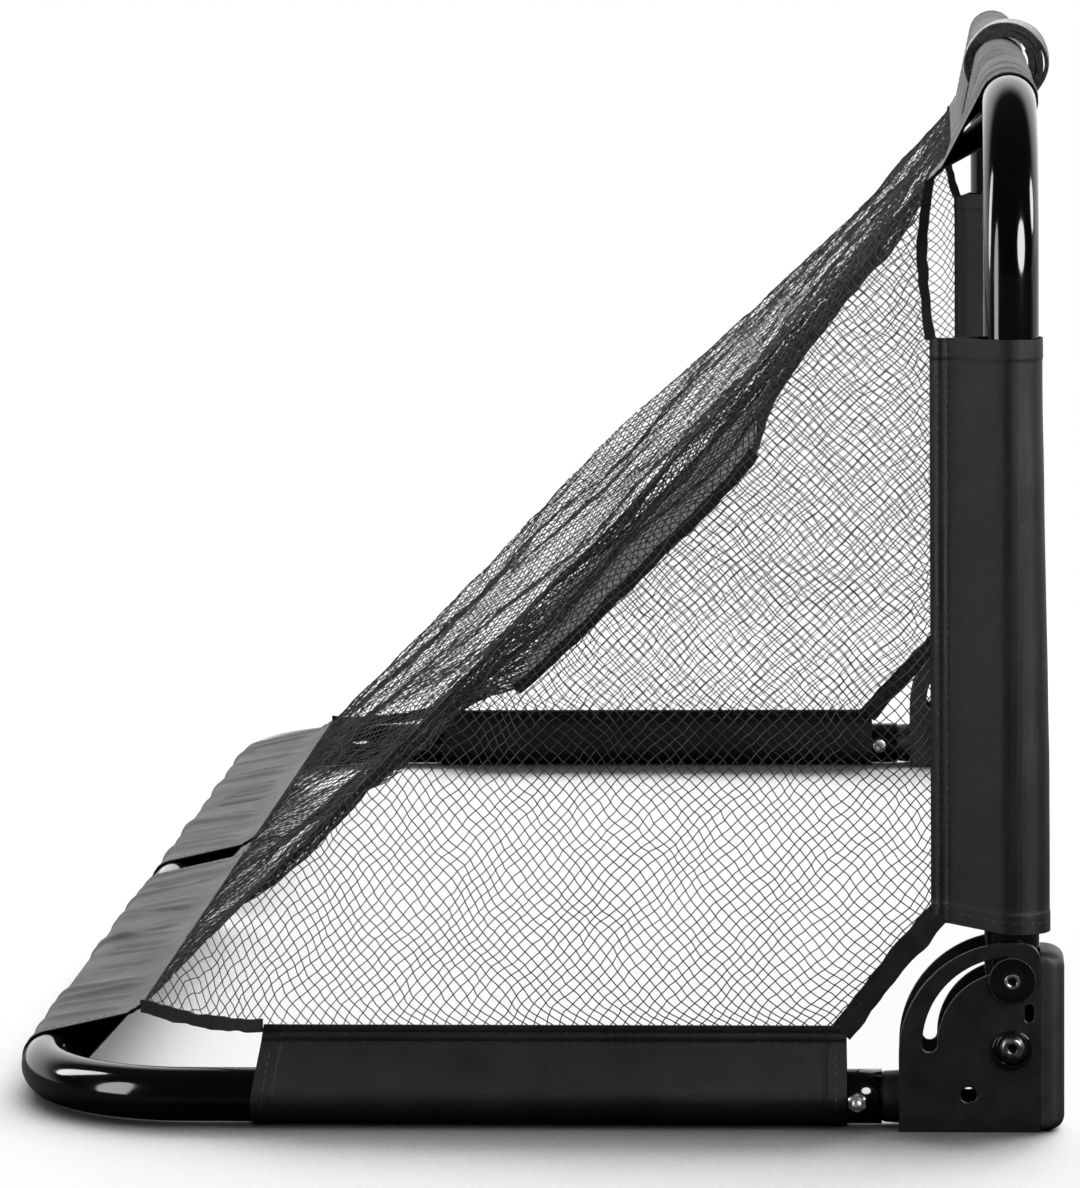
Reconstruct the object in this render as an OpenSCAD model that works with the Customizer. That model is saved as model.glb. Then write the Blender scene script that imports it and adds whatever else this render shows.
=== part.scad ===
// Folding hockey goal net: an upright tube frame hinged on a U-shaped base,
// with fabric sleeves round the tubes and a mesh net hung between the sleeves.
// Frame: +X to the goal's right post, +Y to the back, +Z up. The origin lies on
// the floor, in the middle of the goal's box.

/* [Goal] */
// Width between the axes of the two posts
goal_w = 1340; // [1000:10:1800]
// Height from the floor to the top of the crossbar
goal_h = 610; // [520:5:900]
// Depth from the posts' axes to the back bar's axis
goal_depth = 583; // [480:1:800]

/* [Tube] */
// Outer diameter of the frame tube
tube_d = 32; // [28:1:36]
// Wall of the frame tube
tube_wall = 1.5; // [1:0.1:2.5]
// Centreline radius of the four frame bends
bend_r = 98; // [80:1:120]

/* [Fabric] */
// Thickness of one layer of sleeve fabric
fabric_t = 0.8; // [0.6:0.1:1.2]
// Slack between the tube and its sleeve
sleeve_gap = 0.2; // [0.2:0.1:0.6]
// Reach of the crossbar and back bar flaps from the tube's axis
wide_flap = 66; // [50:1:80]
// Reach of the post and side bar flaps from the tube's axis
side_flap = 46; // [36:1:60]
// Slope of the crossbar flap below the horizontal
crossbar_flap_angle = 45; // [35:1:55]
// Slope of the back bar flap above the horizontal
back_flap_angle = 30; // [20:1:40]
// Bare tube left at the middle of the crossbar and the back bar
middle_gap = 50; // [40:1:80]
// Bare post left between the sleeve and the start of the top bend
post_sleeve_drop = 33; // [10:1:60]
// Bare side bar left between the sleeve and the start of the back bend
side_sleeve_drop = 38; // [10:1:60]
// Bare side bar left between its front end and the sleeve
side_sleeve_start = 20.5; // [20.5:0.5:40]

/* [Net] */
// Thickness of the net panel
net_t = 2; // [1.5:0.5:3]
// Sag of the back net at its patch, below the straight slope
net_sag = 54; // [20:2:64]
// Distance between neighbouring gaps, along a strand
net_pitch = 58; // [56:1:90]
// Width of the strands between the gaps
strand_w = 5; // [3:0.5:8]
// Width of the tape along the diagonal net edge above the hinge
hinge_tape_w = 16; // [12:1:24]
// Width of the tapes along the net's other free edges
edge_tape_w = 9; // [6:1:14]
// Thickness of the tapes and the patch
tape_t = 1.2; // [0.8:0.1:2]
// Width of the patch sewn to the middle of the back net
patch_w = 420; // [200:10:600]
// Height of the patch along the net's slope
patch_h = 230; // [120:5:300]
// Distance along the slope from the top seam to the patch
patch_drop = 250; // [120:5:300]

/* [Strap] */
// Width of the strap at the middle of the crossbar
strap_w = 28; // [20:1:38]
// Thickness of the strap's wound turns together
strap_t = 9.1; // [4:0.1:12]
// Inner radius of the wound strap
strap_r = 19.5; // [18.5:0.5:24]
// Slope of the line from the crossbar's axis to the strap's centre
strap_lean = 45; // [0:5:90]

/* [Bracket] */
// Thickness of each bracket plate
plate_t = 3; // [2:0.5:5]
// Gap between the post and each plate
plate_gap = 1; // [0.8:0.1:2]
// Height of the bracket
bracket_h = 112; // [108:1:125]
// Reach of the bracket behind the pivot, also the radius of its rounded back
bracket_back = 66; // [64:1:75]
// Length of the front edge of the plates ahead of the post
plate_lip = 0.4; // [0.2:0.1:2]
// Radius of the plates' upper front corner
plate_corner_r = 10; // [4:1:14]
// Radius of the arc slot's centreline about the pivot
slot_r = 48; // [44:0.5:50]
// Diameter of the guide pin that runs in the arc slots
pin_d = 8; // [6:0.5:10]
// Clearance between the guide pin and each edge of the slot
pin_play = 0.3; // [0.2:0.05:0.6]
// Radius of the round hole through both plates
round_hole_r = 4.7; // [3:0.1:6]
// Distance of the round hole behind the pivot
round_hole_y = 25.3; // [20:0.1:28]
// Height of the round hole above the floor
round_hole_z = 22; // [16:0.5:24]
// Width of the small upright slot near the front edge
small_slot_w = 5.3; // [3:0.1:6]
// Height of the small upright slot
small_slot_h = 10.5; // [8:0.1:12]
// Height of the small slot's centre above the pivot
small_slot_rise = 19; // [17:0.5:22]
// Thickness of the front bumper
bumper_t = 14; // [12:1:20]
// Height of the front bumper
bumper_h = 106; // [96:1:108]
// Radius of the bumper's front corners
bumper_r = 9; // [4:1:11]
// Range of the post about the pivot, folded flat
fold_angle = 90; // [80:1:90]

/* [Spigot] */
// Wall of the spigot tube
spigot_wall = 2; // [1.5:0.5:4]
// Radial clearance of the spigot inside the base tube
spigot_play = 0.2; // [0.1:0.05:0.4]
// Length of spigot that shows behind the bracket
spigot_show = 10; // [6:1:16]
// Length of spigot inside the base tube
spigot_in = 60; // [40:5:100]
// Distance of the joint screw behind the base tube's front end
joint_screw_in = 14.4; // [12:0.1:16]

/* [Fasteners] */
// Shank diameter of the pivot bolt
pivot_d = 8; // [6:0.5:10]
// Radial clearance of the pivot bolt in the post
pivot_play = 0.05; // [0.03:0.01:0.1]
// Diameter of the pivot bolt's button head
pivot_head_d = 13.6; // [12:0.2:18]
// Outer diameter of the flanged collar under the bolt head
collar_d = 18.4; // [15:0.2:22]
// Outer diameter of the loose ring that hangs on the collar
ring_d = 23; // [20:0.5:26]
// Inner diameter of the loose ring
ring_bore_d = 16.2; // [15:0.1:18]
// Shank diameter of the joint screws and lock screws
screw_d = 6; // [5:0.5:8]
// Diameter of the lock disc
lock_disc_d = 25.4; // [20:0.2:28]
// Height of the lock screw above the pivot
lock_rise = 37; // [34:0.5:40]

/* [Hidden] */
$fn = 64;

cut = 1;                 // how far a cutter runs past the face it opens
soft_gap = 0.3;          // running gap between a soft piece and its seat
fold_gap = 0.5;          // gap between the folded sleeves
left = -1;
right = 1;

// Tube and sleeve
tube_r = tube_d / 2;
bore_r = tube_r - tube_wall;
sleeve_in_r = tube_r + sleeve_gap;
sleeve_r = sleeve_in_r + fabric_t;
flap_t = 2 * fabric_t;

// Heights and depths from the post axis
base_z = sleeve_r;
pivot_z = base_z + 2 * sleeve_r + fold_gap;
crossbar_z = goal_h - tube_r;
plate_front = tube_r + plate_lip;
bumper_front = plate_front + bumper_t;
half_inner = tube_r + plate_gap;
half_outer = half_inner + plate_t;

// Post end inside the bracket
post_tail = 14;
plug_t = 2;
tail_swing_r = norm([tube_r, post_tail]) + 0.7;

// Base tube, spigot and its root block
bar_front = bracket_back + spigot_show;
spigot_r = bore_r - spigot_play;
root_front = 36;
root_back = bracket_back - 4;
root_top = base_z + spigot_r;
web_t = plate_t;
shoulder_r = tube_r - 0.6;

// Bracket openings
slot_w = pin_d + 2 * pin_play;
small_slot_y = -(plate_front - 6.5);

// Wound strap, resting on the rear of the crossbar
strap_shift = strap_r - tube_r - soft_gap;
strap_y = -strap_shift * cos(strap_lean);
strap_z = crossbar_z + strap_shift * sin(strap_lean);
front_reach = max(bumper_front, strap_r + strap_t - strap_y);

// The post axis lies ahead of the origin, so that the box is centred
post_y = (front_reach - goal_depth - sleeve_r) / 2;

// Sleeve ends
post_sleeve_low = pivot_z + bracket_back + 0.8;
post_sleeve_top = crossbar_z - bend_r - post_sleeve_drop;
side_sleeve_front = bar_front + side_sleeve_start;
side_sleeve_back = goal_depth - bend_r - side_sleeve_drop;
cross_sleeve_out = goal_w / 2 - bend_r - 2;

// Seams between the flaps and the net, as [y, z] from the post axis
top_seam = [wide_flap * cos(crossbar_flap_angle), crossbar_z - wide_flap * sin(crossbar_flap_angle)];
back_seam = [goal_depth - wide_flap * cos(back_flap_angle), base_z + wide_flap * sin(back_flap_angle)];
side_seam_z = base_z + side_flap - 4;
slope_len = norm(top_seam - back_seam);
slope_angle = atan2(top_seam[1] - back_seam[1], back_seam[0] - top_seam[0]);
patch_top = slope_len - patch_drop;
patch_low = patch_top - patch_h;

// Outline of one side net, as [y, z] points from the post axis
side_net_outline = [
    [side_flap + soft_gap, post_sleeve_low + 4],
    [side_sleeve_front, side_seam_z + soft_gap],
    [side_sleeve_back, side_seam_z + soft_gap],
    back_seam,
    top_seam,
    [side_flap + soft_gap, post_sleeve_top]
];

// A side net leans inwards from the post and the side bar to the slanted edge,
// where it meets the back net just past the ends of the wide sleeves
net_out = cross_sleeve_out + 2;
net_lean = goal_w / 2 - net_out;
net_belly = [190, 200];
net_belly_lean = 0.42 * net_lean;

// Fasteners
collar_flange_t = 2.6;
ring_t = 2.4;
collar_neck_d = 11.6;
head_h = 4.4;
pivot_nut_af = 13;
pivot_nut_h = 8;
pivot_washer_d = 17;
washer_t = 1.6;
thrust_d = 24;
thrust_t = plate_gap - 0.2;
head_x = half_outer + 0.1 + ring_t + collar_flange_t;
joint_screw_y = bar_front + joint_screw_in;
joint_nut_af = 10;
joint_nut_h = 5;
lock_disc_t = 1.8;
lock_head_d = 9;
lock_head_h = 3;
lock_x = half_outer + 0.2;
hex_af = 5;

// Places a sub-part drawn at the right post, outwards along +X, on either side
module on_side(side) {
    translate([0, post_y, 0])
        mirror([side == left ? 1 : 0, 0, 0])
            translate([goal_w / 2, 0, 0])
                children();
}

// Places a sub-part drawn about the middle of the goal, y from the post axis
module at_middle() {
    translate([0, post_y, 0]) children();
}

// Cylinder along +X from x0 to x1, at height z
module x_rod(r, x0, x1, y = 0, z = 0) {
    translate([x0, y, z]) rotate([0, 90, 0]) cylinder(r = r, h = x1 - x0);
}

// Hexagonal prism along +X
module x_hex(af, x0, x1, y = 0, z = 0) {
    translate([x0, y, z]) rotate([0, 90, 0]) rotate(30) cylinder(d = af / cos(30), h = x1 - x0, $fn = 6);
}

// Outline in [y, z] extruded along +X from x0 to x1
module x_slab(x0, x1) {
    translate([x0, 0, 0]) rotate([90, 0, 90]) linear_extrude(x1 - x0) children();
}

// U-shaped solid in the X-Y plane: legs along -Y from the cross run at y = leg
module u_solid(half_w, leg, r, start) {
    for (side = [left, right]) {
        translate([side * half_w, start, 0])
            rotate([-90, 0, 0]) cylinder(r = r, h = leg - bend_r - start);
        mirror([side == left ? 1 : 0, 0, 0])
            translate([half_w - bend_r, leg - bend_r, 0])
                rotate_extrude(angle = 90) translate([bend_r, 0]) circle(r);
    }
    translate([-(half_w - bend_r), leg, 0]) rotate([0, 90, 0]) cylinder(r = r, h = 2 * (half_w - bend_r));
}

// Bent tube of the frame, hollow and open at both ends
module u_tube(half_w, leg, start) {
    difference() {
        u_solid(half_w, leg, tube_r, start);
        u_solid(half_w, leg, bore_r, start - cut);
    }
}

module upright_frame() {
    color("#141414") difference() {
        at_middle() translate([0, 0, pivot_z]) rotate([90, 0, 0])
            u_tube(goal_w / 2, crossbar_z - pivot_z, plug_t - post_tail);
        for (side = [left, right]) on_side(side) {
            x_rod(pivot_d / 2 + pivot_play, -tube_d, tube_d, 0, pivot_z);
            x_rod(pin_d / 2 + pivot_play, -tube_d, tube_d, 0, pivot_z + slot_r);
        }
    }
}

module base_frame() {
    color("#141414") difference() {
        at_middle() translate([0, 0, base_z]) u_tube(goal_w / 2, goal_depth, bar_front);
        for (side = [left, right]) on_side(side)
            x_rod(screw_d / 2 + 0.2, -tube_d, tube_d, joint_screw_y, base_z);
    }
}

// Side view of a bracket plate in [y, z], without its openings
module plate_outline() {
    arc_z = bracket_h - bracket_back;
    translate([-plate_front, 0]) square([plate_front + bracket_back, arc_z]);
    intersection() {
        translate([0, arc_z]) circle(bracket_back);
        square([bracket_back, bracket_h]);
    }
    translate([-plate_front, 0]) square([plate_front, bracket_h - plate_corner_r]);
    translate([plate_corner_r - plate_front, 0]) square([plate_front - plate_corner_r, bracket_h]);
    translate([plate_corner_r - plate_front, bracket_h - plate_corner_r]) circle(plate_corner_r);
}

// Arc slot from straight above the pivot to straight behind it
module arc_slot() {
    end_slack = asin(pin_play / slot_r);
    difference() {
        circle(slot_r + slot_w / 2);
        circle(slot_r - slot_w / 2);
        translate([-2 * slot_r, -2 * slot_r]) square([2 * slot_r, 4 * slot_r]);
        translate([-2 * slot_r, -4 * slot_r]) square(4 * slot_r);
    }
    for (a = [90 + end_slack, 90 - fold_angle - end_slack]) rotate(a) translate([slot_r, 0]) circle(slot_w / 2);
}

module plate_openings() {
    translate([0, pivot_z]) {
        circle(pivot_d / 2 + 0.2);
        arc_slot();
        translate([0, lock_rise]) circle(screw_d / 2 + 0.2);
    }
    translate([round_hole_y, round_hole_z]) circle(round_hole_r);
    small_z = pivot_z + small_slot_rise;
    translate([small_slot_y - small_slot_w / 2, small_z - (small_slot_h - small_slot_w) / 2])
        square([small_slot_w, small_slot_h - small_slot_w]);
    for (end = [-1, 1])
        translate([small_slot_y, small_z + end * (small_slot_h - small_slot_w) / 2]) circle(small_slot_w / 2);
}

// Two plates joined by a web under the post, a root block and the spigot
module hinge_bracket(side) {
    spigot_end = bar_front + spigot_in;
    color("#242424") on_side(side) {
        for (x0 = [-half_outer, half_inner]) x_slab(x0, x0 + plate_t) difference() {
            plate_outline();
            plate_openings();
        }
        translate([-half_inner, round_hole_y + round_hole_r + 1, 0])
            cube([2 * half_inner, root_back - round_hole_y - round_hole_r - 1, web_t]);
        difference() {
            union() {
                translate([-half_inner, root_front, 0])
                    cube([2 * half_inner, root_back - root_front, root_top]);
                translate([0, root_back - cut, base_z]) rotate([-90, 0, 0])
                    cylinder(r = spigot_r, h = spigot_end - root_back + cut);
                translate([0, root_back - cut, base_z]) rotate([-90, 0, 0])
                    cylinder(r1 = shoulder_r, r2 = spigot_r, h = bar_front - root_back + cut - 0.5);
            }
            translate([0, root_front - cut, base_z]) rotate([-90, 0, 0])
                cylinder(r = spigot_r - spigot_wall, h = spigot_end - root_front + 2 * cut);
            x_rod(screw_d / 2 + 0.2, -tube_d, tube_d, joint_screw_y, base_z);
        }
    }
}

// Rubber bumper on the front edges of the plates, with a tongue between them
module bumper(side) {
    tongue_top = root_top - 8;
    color("#2d3030") on_side(side) {
        difference() {
            intersection() {
                x_slab(-half_outer, half_outer) {
                    translate([-bumper_front + bumper_r, 0]) square([bumper_t - bumper_r, bumper_h]);
                    translate([-bumper_front, bumper_r]) square([bumper_t, bumper_h - 2 * bumper_r]);
                    for (z = [bumper_r, bumper_h - bumper_r]) translate([-bumper_front + bumper_r, z]) circle(bumper_r);
                }
                linear_extrude(bumper_h) {
                    translate([-half_outer, bumper_r - bumper_front]) square([2 * half_outer, bumper_t - bumper_r]);
                    translate([bumper_r - half_outer, -bumper_front]) square([2 * (half_outer - bumper_r), bumper_t]);
                    for (x = [-1, 1]) translate([x * (half_outer - bumper_r), bumper_r - bumper_front]) circle(bumper_r);
                }
                translate([-half_outer, -bumper_front, 0]) cube([2 * half_outer, bumper_t, bumper_h]);
            }
            x_rod(tail_swing_r, -half_inner, half_inner, 0, pivot_z);
        }
        translate([soft_gap - half_inner, -plate_front - cut, web_t])
            cube([2 * (half_inner - soft_gap), plate_front + cut + 4, tongue_top - web_t]);
    }
}

// Button-head bolt through the collar, both plates and the post
module pivot_bolt(side) {
    end_x = half_outer + washer_t + pivot_nut_h + 1.5;
    color("#8a8a8c") on_side(side) {
        x_rod(pivot_d / 2, -end_x, head_x, 0, pivot_z);
        difference() {
            intersection() {
                x_rod(pivot_head_d / 2, head_x, head_x + head_h, 0, pivot_z);
                translate([head_x + head_h - pivot_head_d, 0, pivot_z]) sphere(pivot_head_d);
            }
            x_hex(hex_af, head_x + head_h - 2.6, head_x + head_h + cut, 0, pivot_z);
        }
    }
}

// Flanged collar between the bolt head and the outer plate
module pivot_collar(side) {
    color("#0c0c0c") on_side(side) difference() {
        union() {
            x_rod(collar_neck_d / 2, half_outer, half_outer + 0.2 + ring_t, 0, pivot_z);
            x_rod(collar_d / 2, half_outer + 0.1 + ring_t, head_x, 0, pivot_z);
        }
        x_rod(pivot_d / 2 + 0.1, half_outer - cut, head_x + cut, 0, pivot_z);
    }
}

// Loose ring that hangs by its bore on the collar's neck
module pivot_ring(side) {
    drop = (ring_bore_d - collar_neck_d) / 2;
    color("#0a0a0a") on_side(side) translate([half_outer + 0.1, 0, pivot_z - drop + 0.05])
        rotate([0, 90, 0]) rotate_extrude() difference() {
            translate([ring_bore_d / 2, 0]) square([(ring_d - ring_bore_d) / 2, ring_t - 0.1]);
            translate([ring_d / 2, ring_t - 0.1]) rotate(45) square(1, center = true);
        }
}

// Thrust washers between the post and the two plates
module pivot_washers(side) {
    color("#dcdcd8") on_side(side) for (dir = [-1, 1]) {
        mid_x = dir * (tube_r + plate_gap / 2);
        difference() {
            x_rod(thrust_d / 2, mid_x - thrust_t / 2, mid_x + thrust_t / 2, 0, pivot_z);
            x_rod(pivot_d / 2 + 0.1, mid_x - plate_gap, mid_x + plate_gap, 0, pivot_z);
        }
    }
}

// Washer and lock nut on the pivot bolt's inner end
module pivot_nut(side) {
    washer_x = half_outer + washer_t;
    color("#9a9a9c") on_side(side) difference() {
        union() {
            x_rod(pivot_washer_d / 2, -washer_x, -half_outer, 0, pivot_z);
            x_hex(pivot_nut_af, -washer_x - pivot_nut_h + 2, -washer_x, 0, pivot_z);
            x_rod(pivot_nut_af / 2 - 0.6, -washer_x - pivot_nut_h, -washer_x, 0, pivot_z);
        }
        x_rod(pivot_d / 2 + 0.05, -2 * half_outer, 0, 0, pivot_z);
    }
}

// Pin through the post whose ends run in the arc slots
module guide_pin(side) {
    color("#b4b4b6") on_side(side)
        x_rod(pin_d / 2, 0.1 - half_outer, half_outer - 0.1, 0, pivot_z + slot_r);
}

// Plug in the post's lower end
module post_plug(side) {
    plug_z = pivot_z - post_tail;
    color("#161616") on_side(side) translate([0, 0, plug_z]) {
        cylinder(r = tube_r - 0.3, h = plug_t);
        cylinder(r = bore_r - 0.1, h = post_tail - pivot_d / 2 - 1);
    }
}

// Dished disc under the lock screw's head
module lock_disc(side) {
    color("#101010") on_side(side) translate([lock_x, 0, pivot_z + lock_rise])
        rotate([0, 90, 0]) rotate_extrude() polygon([
            [screw_d / 2 + 0.2, 0], [lock_disc_d / 2, 0],
            [lock_disc_d / 2, lock_disc_t], [lock_disc_d / 2 - 0.8, lock_disc_t],
            [lock_head_d / 2 + 2.5, lock_disc_t - 1], [screw_d / 2 + 0.2, lock_disc_t - 1]
        ]);
}

// Socket screw through the disc and the outer plate, up to the post
module lock_screw(side) {
    seat_x = lock_x + lock_disc_t - 1;
    lock_z = pivot_z + lock_rise;
    color("#b8b8ba") on_side(side) difference() {
        union() {
            x_rod(screw_d / 2, tube_r + 0.3, seat_x + 0.1, 0, lock_z);
            x_rod(lock_head_d / 2, seat_x, seat_x + lock_head_h, 0, lock_z);
        }
        x_hex(hex_af, seat_x + 0.8, seat_x + lock_head_h + cut, 0, lock_z);
    }
}

// Screw through the base tube and the spigot, head inside the goal
module joint_screw(side) {
    end_x = tube_r + joint_nut_h + 5;
    color("#a0a0a2") on_side(side) difference() {
        union() {
            x_rod(screw_d / 2, -tube_r, end_x, joint_screw_y, base_z);
            x_rod(screw_d * 0.875, -tube_r - 3.3, -tube_r, joint_screw_y, base_z);
        }
        x_hex(hex_af - 1, -tube_r - 3.3 - cut, -tube_r - 1.3, joint_screw_y, base_z);
    }
}

module joint_nut(side) {
    color("#6e6e70") on_side(side) difference() {
        x_hex(joint_nut_af, tube_r, tube_r + joint_nut_h, joint_screw_y, base_z);
        x_rod(screw_d / 2 + 0.05, 0, 2 * tube_r, joint_screw_y, base_z);
    }
}

// Fabric tube along +Z round the frame tube, its flap along +Y to the seam
module sleeve(length, flap) {
    difference() {
        union() {
            cylinder(r = sleeve_r, h = length);
            translate([-flap_t / 2, 0, 0]) cube([flap_t, flap, length]);
        }
        translate([0, 0, -cut]) cylinder(r = sleeve_in_r, h = length + 2 * cut);
    }
}

module post_sleeve(side) {
    color("#343636") on_side(side) translate([0, 0, post_sleeve_low])
        sleeve(post_sleeve_top - post_sleeve_low, side_flap);
}

module side_sleeve(side) {
    color("#303232") on_side(side) translate([0, side_sleeve_back, base_z]) rotate([90, 0, 0])
        sleeve(side_sleeve_back - side_sleeve_front, side_seam_z - base_z);
}

module crossbar_sleeve(side) {
    color("#808284") on_side(side) translate([-bend_r - 2, 0, crossbar_z])
        rotate([-crossbar_flap_angle, 0, 0]) rotate([0, -90, 0])
            sleeve(cross_sleeve_out - middle_gap / 2, wide_flap);
}

module back_sleeve(side) {
    color("#808284") on_side(side) translate([-bend_r - 2, goal_depth, base_z])
        rotate([180 - back_flap_angle, 0, 0]) rotate([0, -90, 0])
            sleeve(cross_sleeve_out - middle_gap / 2, wide_flap);
}

// Distance of point p inside the edge from a to b of an outline that turns left
function edge_depth(a, b, p) = cross(b - a, p - a) / norm(b - a);
function inside_by(outline, p) =
    min([for (i = [0:len(outline) - 1]) edge_depth(outline[i], outline[(i + 1) % len(outline)], p)]);

// Square gaps on the diagonal, each at least a strand inside the outline
module net_gaps(outline, low, high) {
    step = net_pitch / sqrt(2);
    half_gap = (net_pitch - strand_w) / sqrt(2);
    rows = floor((high[1] - low[1]) / step);
    columns = floor((high[0] - low[0]) / step);
    for (i = [1:rows], j = [1:columns]) {
        p = low + step * [j, i];
        corners = [for (d = [[1, 0], [0, 1], [-1, 0], [0, -1]]) inside_by(outline, p + half_gap * d)];
        if ((i + j) % 2 == 0 && min(corners) > strand_w)
            translate(p) rotate(45) square(net_pitch - strand_w, center = true);
    }
}

// Thin sheet of triangles through [x, y, z] points, its faces moved along X to x0 and x1.
// The rim and the triangles turn left, seen from outside the goal.
module draped_sheet(points, triangles, rim, x0, x1) {
    outer = len(points);
    faces = concat(points + [for (p = points) [x0, 0, 0]], points + [for (p = points) [x1, 0, 0]]);
    edges = [for (i = [0:rim - 1]) [i, (i + 1) % rim]];
    polyhedron(faces, concat(
        triangles,
        [for (t = triangles) [t[2] + outer, t[1] + outer, t[0] + outer]],
        [for (e = edges) [e[0], e[0] + outer, e[1] + outer, e[1]]]
    ));
}

// Net between the post sleeve, the side bar sleeve and the slanted edge
module side_net(side) {
    lean = [0, 0, 0, net_lean, net_lean, 0];
    rim = len(side_net_outline);
    edge = [for (i = [0:rim - 1]) [-lean[i], side_net_outline[i][0], side_net_outline[i][1]]];
    points = concat(edge, [[-net_belly_lean, net_belly[0], net_belly[1]]]);
    triangles = [for (i = [0:rim - 1]) [i, (i + 1) % rim, rim]];
    color("#1a1a1a") on_side(side) difference() {
        draped_sheet(points, triangles, rim, -net_t / 2, net_t / 2);
        x_slab(-net_lean - 2 * net_t, 2 * net_t)
            net_gaps(side_net_outline, [side_flap, back_seam[1]], [back_seam[0], top_seam[1]]);
    }
}

// Lays [x, s] drawing on the back net's slope, s upwards from the back seam
module on_slope() {
    translate([0, post_y + back_seam[0], back_seam[1]])
        multmatrix([
            [1, 0, 0, 0],
            [0, -cos(slope_angle), sin(slope_angle), 0],
            [0, sin(slope_angle), cos(slope_angle), 0],
            [0, 0, 0, 1]
        ]) children();
}

// Sheet of thickness net_t that sags below the slope. Each knot holds a place and its share
// of the sag, across the goal and up the slope.
module sagging_sheet(across, up) {
    columns = len(across);
    rows = len(up);
    outer = rows * columns;
    points = [for (lift = [0, net_t], r = up, c = across) [c[0], r[0], lift - net_sag * c[1] * r[1]]];
    cells = [for (r = [0:rows - 2], c = [0:columns - 2]) r * columns + c];
    front = [for (c = [0:columns - 2]) [c, c + 1]];
    rear = [for (c = [0:columns - 2]) [(rows - 1) * columns + c + 1, (rows - 1) * columns + c]];
    ends = [for (r = [0:rows - 2], e = [[1, 0], [0, 1]])
        e[0] == 1 ? [(r + 1) * columns, r * columns] : [(r + 1) * columns - 1, (r + 2) * columns - 1]];
    polyhedron(points, concat(
        [for (a = cells) [a, a + columns + 1, a + columns]],
        [for (a = cells) [a, a + 1, a + columns + 1]],
        [for (a = cells) [a + outer, a + outer + columns, a + outer + columns + 1]],
        [for (a = cells) [a + outer, a + outer + columns + 1, a + outer + 1]],
        [for (e = concat(front, rear, ends)) [e[0], e[0] + outer, e[1] + outer, e[1]]]
    ));
}

// Back net: hung between both seams, with its deepest sag along the patch
module back_net() {
    half_w = net_out - net_t / 2 - soft_gap;
    low = soft_gap;
    high = slope_len - soft_gap;
    across = [[-half_w, 0], [-patch_w / 2, 1], [patch_w / 2, 1], [half_w, 0]];
    up = [
        [low, 0], [(low + patch_low) / 2, 0.7], [patch_low, 1],
        [patch_top, 1], [(patch_top + high) / 2, 0.6], [high, 0]
    ];
    corners = [[-half_w, low], [half_w, low], [half_w, high], [-half_w, high]];
    color("#1a1a1a") on_slope() difference() {
        sagging_sheet(across, up);
        translate([0, 0, -net_sag - cut]) linear_extrude(net_sag + net_t + 2 * cut)
            net_gaps(corners, corners[0], corners[2]);
    }
}

module net_patch() {
    color("#3a3c40") on_slope() translate([-patch_w / 2, patch_low, net_t - net_sag])
        linear_extrude(tape_t) square([patch_w, patch_h]);
}

// Tape on the outer face of a side net: [y, z] corners, each with its lean
module net_tape(side, corners, lean) {
    points = [for (i = [0:3]) [-lean[i], corners[i][0], corners[i][1]]];
    color("#101010") on_side(side)
        draped_sheet(points, [[0, 1, 2], [0, 2, 3]], 4, net_t / 2, net_t / 2 + tape_t);
}

module hinge_tape(side) {
    a = side_net_outline[0];
    b = side_net_outline[1];
    net_tape(side, [a, b, b + [hinge_tape_w, 0], a + [0, hinge_tape_w * 1.2]], [0, 0, 0, 0]);
}

module post_tape(side) {
    rise = top_seam[1] - post_sleeve_top;
    net_tape(side, [
        [side_flap + soft_gap, post_sleeve_top], [side_flap + soft_gap + edge_tape_w, post_sleeve_top],
        top_seam + [edge_tape_w, -edge_tape_w], top_seam
    ], [0, 0, net_lean * (rise - edge_tape_w) / rise, net_lean]);
}

module corner_tape(side) {
    a = side_net_outline[2];
    run = back_seam[0] - a[0];
    net_tape(side, [a, back_seam, back_seam + [-edge_tape_w, edge_tape_w], a + [0, edge_tape_w]],
        [0, net_lean, net_lean * (run - edge_tape_w) / run, 0]);
}

// Hook-and-loop strap wound loosely round the middle of the crossbar
module closing_strap() {
    color("#9a9a9a") at_middle() translate([-strap_w / 2, strap_y, strap_z]) rotate([0, 90, 0]) difference() {
        cylinder(r = strap_r + strap_t, h = strap_w);
        translate([0, 0, -cut]) cylinder(r = strap_r, h = strap_w + 2 * cut);
    }
}

upright_frame();
base_frame();
hinge_bracket(left);  // hinge_bracket_left
hinge_bracket(right);  // hinge_bracket_right
bumper(left);  // bumper_left
bumper(right);  // bumper_right
pivot_bolt(left);  // pivot_bolt_left
pivot_bolt(right);  // pivot_bolt_right
pivot_collar(left);  // pivot_collar_left
pivot_collar(right);  // pivot_collar_right
pivot_ring(left);  // pivot_ring_left
pivot_ring(right);  // pivot_ring_right
pivot_washers(left);  // pivot_washers_left
pivot_washers(right);  // pivot_washers_right
pivot_nut(left);  // pivot_nut_left
pivot_nut(right);  // pivot_nut_right
guide_pin(left);  // guide_pin_left
guide_pin(right);  // guide_pin_right
post_plug(left);  // post_plug_left
post_plug(right);  // post_plug_right
lock_disc(left);  // lock_disc_left
lock_disc(right);  // lock_disc_right
lock_screw(left);  // lock_screw_left
lock_screw(right);  // lock_screw_right
joint_screw(left);  // joint_screw_left
joint_screw(right);  // joint_screw_right
joint_nut(left);  // joint_nut_left
joint_nut(right);  // joint_nut_right
crossbar_sleeve(left);  // crossbar_sleeve_left
crossbar_sleeve(right);  // crossbar_sleeve_right
post_sleeve(left);  // post_sleeve_left
post_sleeve(right);  // post_sleeve_right
side_sleeve(left);  // side_sleeve_left
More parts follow.
